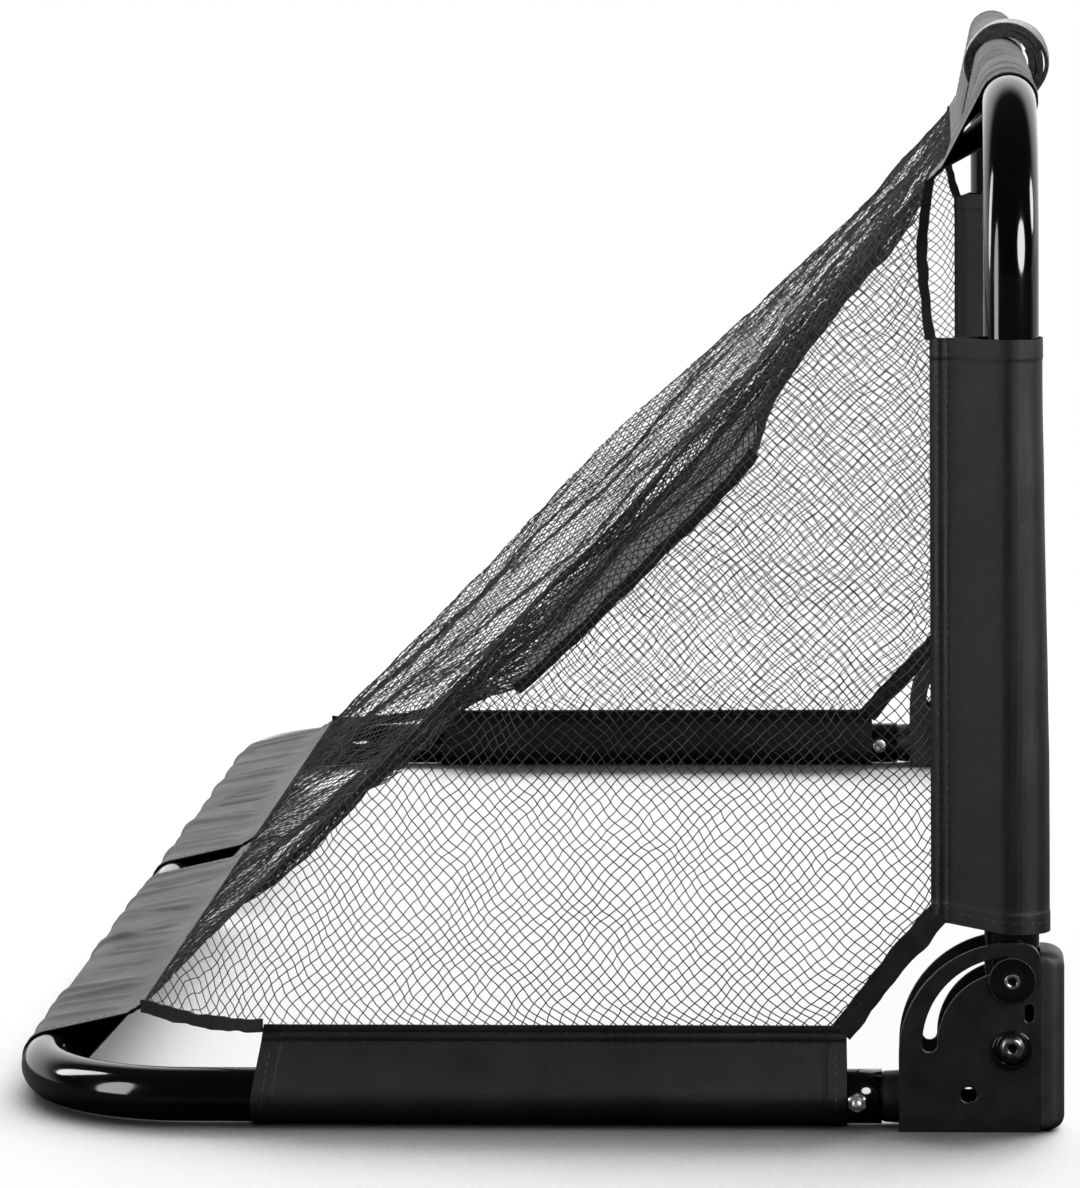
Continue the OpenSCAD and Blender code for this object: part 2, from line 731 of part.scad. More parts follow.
side_sleeve(right);  // side_sleeve_right
back_sleeve(left);  // back_sleeve_left
back_sleeve(right);  // back_sleeve_right
side_net(left);  // side_net_left
side_net(right);  // side_net_right
back_net();
hinge_tape(left);  // hinge_tape_left
hinge_tape(right);  // hinge_tape_right
post_tape(left);  // post_tape_left
post_tape(right);  // post_tape_right
corner_tape(left);  // corner_tape_left
corner_tape(right);  // corner_tape_right
net_patch();
closing_strap();
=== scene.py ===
"""Looks of a folding hockey goal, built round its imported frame. Lengths are in metres."""
import math

import bmesh
import bpy
import numpy as np
from mathutils import Matrix, Vector
from mathutils.bvhtree import BVHTree
from mathutils.geometry import delaunay_2d_cdt, tessellate_polygon


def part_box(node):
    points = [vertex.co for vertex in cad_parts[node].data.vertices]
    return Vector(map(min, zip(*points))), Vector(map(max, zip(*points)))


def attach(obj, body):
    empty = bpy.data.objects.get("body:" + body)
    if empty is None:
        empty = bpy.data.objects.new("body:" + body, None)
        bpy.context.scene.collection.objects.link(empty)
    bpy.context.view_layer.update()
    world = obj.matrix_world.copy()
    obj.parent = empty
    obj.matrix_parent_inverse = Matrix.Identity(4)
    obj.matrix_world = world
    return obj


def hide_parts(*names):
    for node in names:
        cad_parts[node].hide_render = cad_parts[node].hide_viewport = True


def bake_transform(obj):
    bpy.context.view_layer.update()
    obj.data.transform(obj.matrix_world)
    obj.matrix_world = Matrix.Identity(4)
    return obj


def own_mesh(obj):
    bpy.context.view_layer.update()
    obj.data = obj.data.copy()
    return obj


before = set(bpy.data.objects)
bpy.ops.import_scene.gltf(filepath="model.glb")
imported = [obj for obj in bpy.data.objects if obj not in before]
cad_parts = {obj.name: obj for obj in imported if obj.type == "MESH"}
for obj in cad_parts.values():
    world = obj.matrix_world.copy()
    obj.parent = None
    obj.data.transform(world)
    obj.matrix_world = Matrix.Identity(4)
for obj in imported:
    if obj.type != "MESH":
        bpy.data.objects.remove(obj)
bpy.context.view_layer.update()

MM = 0.001
LEFT = -1
RIGHT = 1
SIDES = {"left": LEFT, "right": RIGHT}
X_AXIS, Y_AXIS, Z_AXIS = np.eye(3)


# ---------------------------------------------------------------- sizes from the frame

def centre(node_name):
    low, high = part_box(node_name)
    return (low + high) / 2


upright_low, upright_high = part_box("upright_frame")
post_y = centre("guide_pin_right").y
half_w = centre("hinge_bracket_right").x
pivot_z = centre("pivot_bolt_right").z
tube_r = (upright_high.y - upright_low.y) / 2
crossbar_z = upright_high.z - tube_r
base_z = centre("joint_nut_right").z
lock_z = pivot_z + 38.4 * MM
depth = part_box("base_frame")[1].y - tube_r - post_y
bar_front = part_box("base_frame")[0].y - post_y
bracket_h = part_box("hinge_bracket_right")[1].z
half_outer = 20 * MM
half_inner = 17 * MM
bumper_t = 14 * MM
plate_front = post_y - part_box("bumper_right")[0].y - bumper_t
bracket_back = 66 * MM
tube_wall = 1.5 * MM
bend_r = 98 * MM
fabric_t = 0.8 * MM
sleeve_r = tube_r + 0.6 * MM
wide_flap = 66 * MM
post_flap = 47 * MM
side_flap = 42 * MM
middle_gap = 25 * MM
sleeve_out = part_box("crossbar_sleeve_right")[1].x
post_sleeve_low, post_sleeve_top = (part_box("post_sleeve_right")[i].z for i in (0, 1))
side_sleeve_front, side_sleeve_back = (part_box("side_sleeve_right")[i].y - post_y for i in (0, 1))


def at(side, out, back, up):
    """Point given outwards from the post axis, backwards from it and up from the floor."""
    return np.array([side * (half_w + out), post_y + back, up])


# ---------------------------------------------------------------- lines and fields

def unit(vectors, least=1e-12):
    return vectors / np.maximum(np.linalg.norm(vectors, axis=-1, keepdims=True), least)


def reach_along(line):
    """Length run at each point of a line."""
    return np.concatenate([[0], np.cumsum(np.linalg.norm(np.diff(line, axis=0), axis=1))])


def circle(middle, radius, u, v, count):
    """Points round a middle from u towards v; the radius may differ from point to point."""
    turn = np.linspace(0, 2 * np.pi, count, endpoint=False)
    return middle + (radius * np.cos(turn))[:, None] * u + (radius * np.sin(turn))[:, None] * v


def smooth_step(value):
    value = np.clip(value, 0, 1)
    return value * value * (3 - 2 * value)


def smooth_curve(value, knots, heights):
    """Curve through knots, rounded at each of them."""
    spread = 0.03 * (knots[-1] - knots[0])
    return sum(np.interp(value + o * spread, knots, heights) for o in (-1, -0.5, 0, 0.5, 1)) / 5


def waves(seed, count, shortest, longest, size):
    """Smooth random field over flat points in metres, about `size` high."""
    draw = np.random.default_rng(seed)
    turn = draw.uniform(0, 2 * np.pi, count)
    length = draw.uniform(shortest, longest, count)
    phase = draw.uniform(0, 2 * np.pi, count)
    pace = 2 * np.pi / length[:, None] * np.stack([np.cos(turn), np.sin(turn)], 1)
    return lambda p: size * np.sqrt(2 / count) * np.sin(np.asarray(p) @ pace.T + phase).sum(-1)


# ---------------------------------------------------------------- mesh helpers

def grid_faces(rows, columns, closed=False, start=0):
    """Quads between the points of a rows x columns grid, closed round its columns if asked."""
    last = columns if closed else columns - 1
    r, c = np.meshgrid(np.arange(rows - 1), np.arange(last), indexing="ij")
    following = (c + 1) % columns
    quads = np.stack([r * columns + c, r * columns + following,
                      (r + 1) * columns + following, (r + 1) * columns + c], -1)
    return (quads.reshape(-1, 4) + start).tolist()


def normals_of(places):
    """Unit normals of a grid of points."""
    return unit(np.cross(np.gradient(places, axis=1), np.gradient(places, axis=0)))


def new_piece(name, points, faces, material):
    mesh = bpy.data.meshes.new(name)
    mesh.from_pydata(points, [], faces)
    mesh.materials.append(material)
    piece = bpy.data.objects.new(name, mesh)
    bpy.context.scene.collection.objects.link(piece)
    return piece


def clean_mesh(mesh, merge=0.0):
    """Turns the faces outwards, and first merges points closer than a distance if asked."""
    work = bmesh.new()
    work.from_mesh(mesh)
    if merge:
        bmesh.ops.remove_doubles(work, verts=work.verts, dist=merge)
    bmesh.ops.recalc_face_normals(work, faces=work.faces)
    work.to_mesh(mesh)
    work.free()


class Shape:
    """Points and faces that are gathered into one mesh."""

    def __init__(self):
        self.points = []
        self.faces = []

    def add(self, points, faces):
        start = len(self.points)
        self.points.extend([tuple(float(v) for v in p) for p in points])
        self.faces.extend([tuple(i + start for i in face) for face in faces])

    def loft(self, rings, capped=True):
        """Skin over closed rings of equal length, with flat caps."""
        rings = np.asarray(rings, float)
        rows, columns = rings.shape[:2]
        faces = grid_faces(rows, columns, closed=True)
        if capped:
            faces.append(list(range(columns))[::-1])
            faces.append(list(range((rows - 1) * columns, rows * columns)))
        self.add(rings.reshape(-1, 3), faces)

    def cloth(self, places, normals, thickness):
        """Closed skin of a cloth grid: both faces and the cut edges."""
        rows, columns = places.shape[:2]
        count = rows * columns
        faces = grid_faces(rows, columns)
        faces += [face[::-1] for face in grid_faces(rows, columns, start=count)]
        border = [r * columns for r in range(rows)]
        border += [(rows - 1) * columns + c for c in range(1, columns)]
        border += [r * columns + columns - 1 for r in range(rows - 2, -1, -1)]
        border += list(range(columns - 2, 0, -1))
        faces += [[a, b, b + count, a + count] for a, b in zip(border, border[1:] + border[:1])]
        half = normals * thickness / 2
        self.add(np.concatenate([(places + half).reshape(-1, 3), (places - half).reshape(-1, 3)]), faces)

    def build(self, name, finish, sharp=35, merge=0.0):
        """The piece in a named finish, with edges sharper than an angle in degrees kept."""
        piece = new_piece(name, self.points, self.faces, FINISH[finish])
        clean_mesh(piece.data)
        piece.data.shade_smooth()
        piece.data.set_sharp_from_angle(angle=math.radians(sharp))
        if merge:
            clean_mesh(piece.data, merge)
        return piece


def add_uv(piece, coordinates):
    """Gives a mesh cloth coordinates in metres, one pair for each point."""
    mesh = piece.data
    layer = mesh.uv_layers.new(name="cloth")
    corners = np.empty(len(mesh.loops), int)
    mesh.loops.foreach_get("vertex_index", corners)
    layer.data.foreach_set("uv", np.asarray(coordinates, np.float32)[corners].ravel())


def cloth_piece(name, places, normals, thickness, finish):
    shape = Shape()
    shape.cloth(places, normals, thickness)
    return shape.build(name, finish, sharp=60)


def dress(piece, body, slot, *replaced):
    """Gives a piece its body, if one is named, and hides the CAD nodes it replaces; the slot argument is not
    used.
    """
    if body:
        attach(piece, body)
    if replaced:
        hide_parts(*replaced)
    return piece


# ---------------------------------------------------------------- materials

WHITE = (1, 1, 1, 1)


def feed(tree, target, inputs):
    """Sets a node's inputs, each to a value or to the output that feeds it."""
    for key, value in inputs.items():
        if isinstance(value, bpy.types.NodeSocket):
            tree.links.new(value, target.inputs[key])
        else:
            target.inputs[key].default_value = value
    return target


def node(tree, kind, inputs=None, **settings):
    new = tree.nodes.new("ShaderNode" + kind)
    for key, value in settings.items():
        setattr(new, key, value)
    return feed(tree, new, inputs or {})


def combine(tree, operation, a, b):
    return node(tree, "Math", {0: a, 1: b}, operation=operation).outputs[0]


def stretch(tree, value, low, high, to_low=0.0, to_high=1.0, smooth=False):
    """Maps a value from one range to another, and holds it at both ends."""
    ends = {"From Min": low, "From Max": high, "To Min": to_low, "To Max": to_high}
    shape = "SMOOTHSTEP" if smooth else "LINEAR"
    return node(tree, "MapRange", {"Value": value, **ends}, interpolation_type=shape).outputs["Result"]


def new_material(name):
    material = bpy.data.materials.new(name)
    material.use_nodes = True
    return material, material.node_tree, material.node_tree.nodes["Principled BSDF"]


def noise(tree, scale, detail):
    places = node(tree, "TexCoord").outputs["Object"]
    return node(tree, "TexNoise", {"Scale": scale, "Detail": detail, "Vector": places}).outputs["Fac"]


def weave(tree, axis):
    """Bands across the cloth coordinates, one thread apart."""
    scale = 2 * math.pi / (20 * THREAD_PITCH)
    places = node(tree, "TexCoord").outputs["UV"]
    return node(tree, "TexWave", {"Scale": scale, "Distortion": 0.4, "Vector": places},
                wave_type="BANDS", bands_direction=axis).outputs["Fac"]


def make_finish(name, dark, light, roughness, patch, grain, bump, bump_depth, sockets=None):
    """Procedural finish: patches of colour and roughness, with a fine grain in relief."""
    material, tree, shader = new_material(name)
    large = noise(tree, patch, 3)
    relief = noise(tree, grain, 4)
    if name in WOVEN:
        for axis in "XY":
            relief = combine(tree, "ADD", relief, weave(tree, axis))
    ramp = node(tree, "ValToRGB", {"Fac": large})
    for element, place, colour in zip(ramp.color_ramp.elements, PATCH_SPREAD, (dark, light)):
        element.position = place
        element.color = (*(colour if isinstance(colour, tuple) else [colour] * 3), 1)
    raised = node(tree, "Bump", {"Strength": bump, "Distance": bump_depth * MM, "Height": relief})
    feed(tree, shader, {"Base Color": ramp.outputs["Color"], "Normal": raised.outputs["Normal"],
                        "Roughness": stretch(tree, large, *PATCH_SPREAD, *roughness), **(sockets or {})})
    return material


def paint_socket_shade(finish, y, z):
    """Painted shade in a screw's socket, whose axis stands at y and z."""
    tree = FINISH[finish].node_tree
    base = tree.nodes["Principled BSDF"].inputs["Base Color"]
    places = node(tree, "TexCoord").outputs["Object"]
    flat = node(tree, "VectorMath", {0: places, 1: (0, 1, 1)}, operation="MULTIPLY").outputs[0]
    away = node(tree, "VectorMath", {0: flat, 1: (0, y, z)}, operation="DISTANCE").outputs["Value"]
    # painted shade: the base colour falls to 4% within the socket's radius
    unshaded = stretch(tree, away, 0.85 * SOCKET_SHADE_R, SOCKET_SHADE_R, 0.04)
    scaled = node(tree, "VectorMath", {0: base.links[0].from_socket, "Scale": unshaded}, operation="SCALE")
    tree.links.new(scaled.outputs[0], base)


THREAD_PITCH = 0.65 * MM
# radius of the painted shade in the screw sockets
SOCKET_SHADE_R = 2.9 * MM
PATCH_SPREAD = (0.3, 0.7)
WOVEN = ("sleeve_fabric", "patch_fabric")
METAL = {"Metallic": 1}
SHINE = "Specular IOR Level"
# dark and light colour, roughness, scales of patches and grain, bump and its depth in mm, sockets
FINISHES = {
    "tube_paint": (0.004, 0.007, (0.07, 0.13), 25, 500, 0.03, 0.1, {SHINE: 0.4}),
    "bracket_paint": (0.012, 0.018, (0.36, 0.46), 60, 2200, 0.12, 0.1),
    "bumper_rubber": ((0.024, 0.027, 0.027), (0.031, 0.034, 0.034), (0.48, 0.6), 70, 1500, 0.2, 0.2),
    "bolt_steel": (0.12, 0.2, (0.28, 0.42), 300, 2500, 0.15, 0.1, METAL),
    "bright_steel": (0.55, 0.7, (0.16, 0.28), 300, 2500, 0.1, 0.1, METAL),
    "zinc_steel": (0.34, (0.51, 0.5, 0.49), (0.3, 0.5), 260, 2000, 0.2, 0.1, METAL),
    "black_nylon": (0.006, 0.01, (0.2, 0.3), 120, 1800, 0.05, 0.1),
    "gloss_black": (0.008, 0.012, (0.1, 0.2), 120, 1200, 0.05, 0.1),
    # painted highlight: light grey for the lock disc's rim
    "rim_highlight_paint": (0.2, 0.4, (0.4, 0.6), 400, 1500, 0.1, 0.3),
    "white_nylon": ((0.6936, 0.68, 0.6664), (0.7752, 0.76, 0.7448), (0.4, 0.5), 120, 1500, 0.05, 0.1),
    "sleeve_fabric": ((0.019, 0.022, 0.022), (0.026, 0.030, 0.030), (0.36, 0.5), 22, 1300, 0.35, 0.2,
                      {SHINE: 0.25}),
    "patch_fabric": (0.07, 0.11, (0.8, 0.9), 30, 1300, 0.35, 0.2, {SHINE: 0.1}),
    "binding_tape": (0.005, 0.009, (0.7, 0.9), 160, 1700, 0.5, 0.4, {SHINE: 0.25}),
    "net_cord": (0.008, 0.018, (0.4, 0.55), 90, 3000, 0.3, 0.2, {SHINE: 0.4}),
    "thread": (0.02, 0.06, (0.35, 0.5), 500, 3000, 0.3, 0.2),
    "strap_fabric": (0.22, 0.32, (0.55, 0.7), 120, 1500, 0.5, 0.3, {"Sheen Weight": 0.2}),
    "strap_pile": (0.0, 0.2, (0.7, 0.9), 420, 1800, 0.8, 0.8, {"Sheen Weight": 0.1})}
FINISH = {name: make_finish(name, *row) for name, row in FINISHES.items()}
# painted shade in the sockets of the pivot bolts and the lock screws
paint_socket_shade("bolt_steel", post_y, pivot_z)
paint_socket_shade("bright_steel", post_y, lock_z)


# ---------------------------------------------------------------- frame tubes

def bent_tube(name, leg_end, start, plane_point, across, body):
    """Hollow tube bent twice, open at both ends, in the plane that plane_point spans."""
    step = math.radians(3)
    straight = leg_end - bend_r - start
    leg_rows = 24
    half = [(-half_w, start + straight * i / leg_rows, 0.0) for i in range(leg_rows)]
    for a in [i * step for i in range(int(math.pi / 2 / step) + 1)]:
        half.append((-half_w + bend_r - bend_r * math.cos(a), leg_end - bend_r + bend_r * math.sin(a), a))
    path = half + [(-x, along, math.pi - a) for x, along, a in reversed(half)]
    skins = []
    for radius in (tube_r, tube_r - tube_wall):
        skins.append([circle(plane_point(x, along), radius,
                             plane_point(math.cos(a), -math.sin(a)) - plane_point(0, 0), across, 56)
                      for x, along, a in path])
    shape = Shape()
    shape.loft(skins[0] + skins[1][::-1] + skins[0][:1], capped=False)
    piece = shape.build(name, "tube_paint", sharp=50, merge=1e-6)
    dress(piece, body, "tube_paint", name.replace("_tube", "_frame"))


def make_tubes():
    bent_tube("upright_tube", crossbar_z, upright_low.z,
              lambda x, along: np.array([x, post_y, along]), Y_AXIS, "upright")
    bent_tube("base_tube", post_y + depth, post_y + bar_front,
              lambda x, along: np.array([x, along, base_z]), Z_AXIS, "base")


# ---------------------------------------------------------------- hinge brackets

def arc(middle, radius, first, last, step):
    """Points on an arc, angles in degrees from the backward direction towards up."""
    count = max(2, int(abs(last - first) / step) + 1)
    turn = np.radians(np.linspace(first, last, count))
    return [(middle[0] + radius * math.cos(a), middle[1] + radius * math.sin(a)) for a in turn]


def plate_loops():
    """Outline and openings of a bracket plate, [back, up]; material lies to the left."""
    corner = 10 * MM
    outline = [(-plate_front, 0), (bracket_back, 0)]
    outline += arc((0, bracket_h - bracket_back), bracket_back, 0, 90, 3)
    outline += arc((corner - plate_front, bracket_h - corner), corner, 90, 180, 8)
    slot_r = 48 * MM
    slot_half = 4.3 * MM
    slack = 0.36
    pivot = (0, pivot_z)
    slot = arc(pivot, slot_r + slot_half, 90 + slack, -slack, 3)
    slot += arc((slot_r, pivot_z), slot_half, 0, -180, 15)[1:-1]
    slot += arc(pivot, slot_r - slot_half, -slack, 90 + slack, 3)
    slot += arc((0, pivot_z + slot_r), slot_half, -90, -270, 15)[1:-1]
    small_y = 6.5 * MM - plate_front
    small_z = pivot_z + 19 * MM
    small_rise = 2.6 * MM
    small_r = 2.65 * MM
    small = arc((small_y, small_z + small_rise), small_r, 180, 0, 15)
    small += arc((small_y, small_z - small_rise), small_r, 0, -180, 15)
    holes = [(pivot, 4.2 * MM), ((0, lock_z), 3.2 * MM), ((25.3 * MM, 22 * MM), 4.7 * MM)]
    loops = [outline, slot, small] + [arc(middle, radius, 360, 10, 10) for middle, radius in holes]
    return [np.array(loop) for loop in loops]


def inset(loop, distance):
    """Moves a loop towards the side on its left."""
    edges = unit(np.stack([loop - np.roll(loop, 1, 0), np.roll(loop, -1, 0) - loop]), 1e-9)
    before, after = np.stack([-edges[..., 1], edges[..., 0]], -1)
    mean = before + after
    mean /= np.maximum((mean * before).sum(1, keepdims=True), 0.5)
    return loop + distance * mean


def add_plate(shape, side, x0, x1):
    """One plate with rounded edges along its outline and openings."""
    edge = 0.5 * MM
    loops = plate_loops()
    corners = [(edge * (1 - math.sin(a)), edge * (1 - math.cos(a))) for a in np.radians([0, 30, 60, 90])]
    levels = [(shrink, x0 + sink) for shrink, sink in corners]
    levels += [(shrink, x1 - sink) for shrink, sink in reversed(corners)]
    for loop in loops:
        rings = [[at(side, x, y, z) for y, z in inset(loop, shrink)] for shrink, x in levels]
        shape.loft(rings, capped=False)
    inner = [inset(loop, edge) for loop in loops]
    faces = tessellate_polygon([[Vector((y, z, 0)) for y, z in loop] for loop in inner])
    for x in (x0, x1):
        shape.add([at(side, x, y, z) for y, z in np.concatenate(inner)], faces)


def rounded_block(shape, side, out, back, up, edge=1.2 * MM):
    """Block between two corners given as ranges, with rounded edges."""
    ranges = (out, back, up)
    middle = [(a + b) / 2 for a, b in ranges]
    half = [(b - a) / 2 for a, b in ranges]
    levels = [(-half[2], 1), (-half[2] + 0.3 * edge, 0.3), (-half[2] + edge, 0)]
    levels += [(-z, e) for z, e in reversed(levels)]
    rings = []
    for z, shrink in levels:
        ring = []
        round_r = edge * (1 - shrink)
        for quarter, (x_sign, y_sign) in enumerate([(1, 1), (-1, 1), (-1, -1), (1, -1)]):
            for a in (0, 30, 60, 90):
                turn = math.radians(a) + quarter * math.pi / 2
                x = x_sign * (half[0] - edge) + round_r * math.cos(turn)
                y = y_sign * (half[1] - edge) + round_r * math.sin(turn)
                ring.append(at(side, middle[0] + x, middle[1] + y, middle[2] + z))
        rings.append(ring)
    shape.loft(rings)


def hinge_bracket(name, side):
    """Two plates with a block between them and a spigot for the base tube."""
    shape = Shape()
    add_plate(shape, side, half_inner, half_outer)
    add_plate(shape, side, -half_outer, -half_inner)
    inner = half_inner + 0.2 * MM
    root = bracket_back - 4 * MM
    rounded_block(shape, side, (-inner, inner), (36 * MM, root), (0, base_z + 14.3 * MM))
    rounded_block(shape, side, (-inner, inner), (31 * MM, root - 1 * MM), (0, 3 * MM), 0.5 * MM)
    spigot_end = bar_front + 60 * MM
    spigot_r = 14.3 * MM
    bore = 12.3 * MM
    profile = [(root - 2 * MM, 16.9 * MM), (root, 16.2 * MM), (root + 2 * MM, 15.5 * MM),
               (bar_front - 3 * MM, 15.1 * MM), (bar_front - 0.6 * MM, 14.8 * MM),
               (bar_front - 0.5 * MM, spigot_r), (spigot_end, spigot_r), (spigot_end, bore),
               (root - 2 * MM, bore)]
    rings = [circle(at(side, 0, y, base_z), r, side * X_AXIS, Z_AXIS, 48) for y, r in profile]
    shape.loft(rings + rings[:1], capped=False)
    piece = shape.build(f"bracket_{name}", "bracket_paint", sharp=40)
    dress(piece, "base", "bracket_paint", f"hinge_bracket_{name}")


def bumper(name, side):
    """Rubber block, rounded towards the front, with a tongue between the plates."""
    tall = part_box(f"bumper_{name}")[1].z
    radius = 9 * MM
    edge = 5 * MM
    rounds = [radius * (1 - math.cos(math.radians(a))) for a in range(10, 91, 10)]
    heights = [0.0] + rounds + [tall * f for f in (0.2, 0.35, 0.5, 0.65, 0.8)]
    heights += [tall - z for z in reversed(rounds)] + [tall]
    rings = []
    for z in heights:
        near_end = min(z, tall - z)
        sink = radius - math.sqrt(max(radius ** 2 - max(radius - near_end, 0) ** 2, 0))
        narrow = edge - math.sqrt(max(edge ** 2 - max(edge - near_end, 0) ** 2, 0))
        reach = bumper_t - sink
        corner = min(radius, reach * 0.98)
        half = half_outer - narrow
        ring = [(half, 0.0)]
        ring += [(half - corner + corner * math.cos(a), -(reach - corner) - corner * math.sin(a))
                 for a in np.radians(np.linspace(0, 90, 10))]
        ring += [(-x, y) for x, y in reversed(ring)]
        ring += [(f * half, 0.0) for f in (-0.6, -0.2, 0.2, 0.6)]
        rings.append([at(side, x, -plate_front + y, z) for x, y in ring])
    shape = Shape()
    shape.loft(rings)
    inner = half_inner - 0.3 * MM
    rounded_block(shape, side, (-inner, inner), (-plate_front - 1 * MM, -plate_front + 4 * MM),
                  (3 * MM, 23 * MM), 0.8 * MM)
    piece = shape.build(f"front_bumper_{name}", "bumper_rubber", sharp=45)
    dress(piece, "base", "bumper_rubber", f"bumper_{name}")


# ---------------------------------------------------------------- fasteners

def hexagon(flats):
    """Radius of a hexagon at an angle, from its width across flats."""
    return lambda a, x: flats / 2 / math.cos((a + math.pi / 6) % (math.pi / 3) - math.pi / 6)


def threaded(radius, pitch):
    """Radius of a screw thread at an angle and a distance along the screw."""
    return lambda a, x: radius - 0.3 * pitch * abs(2 * ((x / pitch + a / (2 * math.pi)) % 1) - 1)


def stations(start, *rows, sign=1):
    """Profile of a turned piece from rows in millimetres: (distance out from the start, radius)."""
    return [(start + sign * x * MM, r if callable(r) else r * MM) for x, r in rows]


def dome(x0, height, radius, flat):
    """Profile of a button head from its rim to the flat round its socket."""
    steps = 6
    rim = 0.3 * MM
    found = [(x0, radius - rim), (x0 + rim, radius)]
    for a in [math.pi / 2 * i / steps for i in range(1, steps + 1)]:
        found.append((x0 + rim + (height - rim) * math.sin(a), flat + (radius - flat) * math.cos(a)))
    return found


def socket(face, depth_in, flats):
    """Profile of a hexagon socket: a chamfer, walls and a floor."""
    return [(face, flats * 0.62), (face - 0.35 * MM, hexagon(flats)), (face - depth_in, hexagon(flats)),
            (face - depth_in - 0.6 * MM, flats * 0.2)]


def turned(label, cad, finish, body, side, profile, up, back=0, sharp=35, sides=48):
    """Piece turned round an axis along X; a profile's radius may be a function of the angle."""
    angles = 2 * math.pi * np.arange(sides) / sides
    rings = []
    for x, radius in profile:
        if callable(radius):
            radius = np.array([radius(a, x) for a in angles])
        rings.append(circle(at(side, x, back, up), radius, Y_AXIS, Z_AXIS, sides))
    shape = Shape()
    shape.loft(rings)
    return dress(shape.build(label, finish, sharp), body, finish, cad)


def pivot_ring(name, side):
    """Loose ring that hangs on the pivot's collar."""
    drop = 2.25 * MM
    outer = 11.5 * MM
    bore = 8.1 * MM
    thick = 2.25 * MM
    crown = 0.75 * MM
    soft = lambda v: math.copysign(abs(v) ** 0.8, v)
    rings = []
    for b in np.linspace(0, 2 * np.pi, 20, endpoint=False):
        r = (outer + bore) / 2 + (outer - bore) / 2 * soft(math.cos(b)) + crown * max(0.0, math.sin(b))
        x = half_outer + 0.1 * MM + thick / 2 + thick / 2 * soft(math.sin(b))
        rings.append(circle(at(side, x, 0, pivot_z - drop), r, Y_AXIS, Z_AXIS, 72))
    shape = Shape()
    shape.loft(rings + rings[:1], capped=False)
    piece = shape.build(f"hinge_ring_{name}", "gloss_black", sharp=60, merge=1e-6)
    dress(piece, "base", "black_nylon", f"pivot_ring_{name}")


def lock_disc(name, side):
    """Dished disc whose rim carries a painted highlight."""
    start = half_outer + 0.2 * MM
    profile = stations(start, (0, 3.2), (0, 13.2), (0.3, 13.6), (1.3, 13.6), (1.75, 13.3), (1.6, 12.5),
                       (1.1, 9.8), (0.8, 7.2), (0.8, 3.2))
    plate = turned(f"lock_plate_{name}", f"lock_disc_{name}", "gloss_black", f"lock_{name}", side,
                   profile, lock_z, sharp=20, sides=64)
    # painted highlight: the rim faces get the light grey finish
    plate.data.materials.append(FINISH["rim_highlight_paint"])
    spots = np.array([tuple(v.co) for v in plate.data.vertices])
    rim = np.hypot(spots[:, 1] - post_y, spots[:, 2] - lock_z) > 13.25 * MM
    rim &= np.abs(spots[:, 0]) - half_w > start + 1.25 * MM
    for face in plate.data.polygons:
        face.material_index = int(rim[list(face.vertices)].all())


def fasteners(name, side):
    head = half_outer + 5.1 * MM
    head_h = 4.4 * MM
    bolt = stations(0, (-31, 3.4), (-30.4, 4)) + stations(head, (-0.1, 4))
    bolt += dome(head, head_h, 7.3 * MM, 4 * MM) + socket(head + head_h, 2.6 * MM, 5 * MM)
    turned(f"hinge_bolt_{name}", f"pivot_bolt_{name}", "bolt_steel", "base", side, bolt, pivot_z)

    neck = 5.8
    flange = 9.2
    collar = stations(half_outer, (0.05, neck), (2.5, neck), (2.5, flange - 0.4), (2.9, flange),
                      (4.5, flange), (4.95, flange - 0.5), (4.95, 6.2), (4.1, 6.0), (4.1, 4.1))
    turned(f"hinge_collar_{name}", f"pivot_collar_{name}", "black_nylon", "base", side, collar, pivot_z)
    pivot_ring(name, side)

    flats = hexagon(13 * MM)
    nut = stations(-half_outer - 0.05 * MM, (0, 8.3), (0.2, 8.5), (1.4, 8.5), (1.6, 8.2), (1.6, 6.3),
                   (2.2, flats), (7, flats), (7.6, 6.3), (9.5, 5.6), (9.6, 4.1), sign=-1)
    turned(f"hinge_nut_{name}", f"pivot_nut_{name}", "zinc_steel", "base", side, nut, pivot_z, sharp=25)

    lock_disc(name, side)
    seat = half_outer + 1.0 * MM
    screw = stations(tube_r, (0.3, 2.6), (0.7, 3))
    screw += stations(seat, (-0.1, 3), (0, 4.3), (0.2, 4.5), (2.6, 4.5), (3, 4.1))
    screw += socket(seat + 3 * MM, 2.2 * MM, 5 * MM)
    turned(f"lock_bolt_{name}", f"lock_screw_{name}", "bright_steel", f"lock_{name}", side, screw, lock_z)

    joint_y = centre(f"joint_nut_{name}").y - post_y
    tip = tube_r + 10 * MM
    helix = threaded(3 * MM, 1 * MM)
    pin = stations(-tube_r, (-1.7, 1), (-1.8, hexagon(4 * MM)), (-3.3, hexagon(4.4 * MM)), (-3.3, 4.6),
                   (-3, 5.2), (0.1, 5.2), (0.1, 3))
    pin += [(tube_r, 2.9 * MM)]
    pin += [(x, helix) for x in np.arange(tube_r + 4 * MM, tip - 0.7 * MM, 0.125 * MM)]
    pin += stations(tip, (-0.6, 2.75), (0, 2.3))
    turned(f"tube_screw_{name}", f"joint_screw_{name}", "zinc_steel", "base", side, pin, base_z, joint_y,
           sharp=60, sides=32)

    flats = hexagon(10 * MM)
    nut = stations(tube_r + 0.02 * MM, (0, 3.1), (0, 4.7), (0.5, flats), (4.4, flats), (5, 4.75),
                   (5, 3.6), (4.4, 3.05))
    turned(f"tube_nut_{name}", f"joint_nut_{name}", "zinc_steel", "base", side, nut, base_z, joint_y,
           sharp=25)


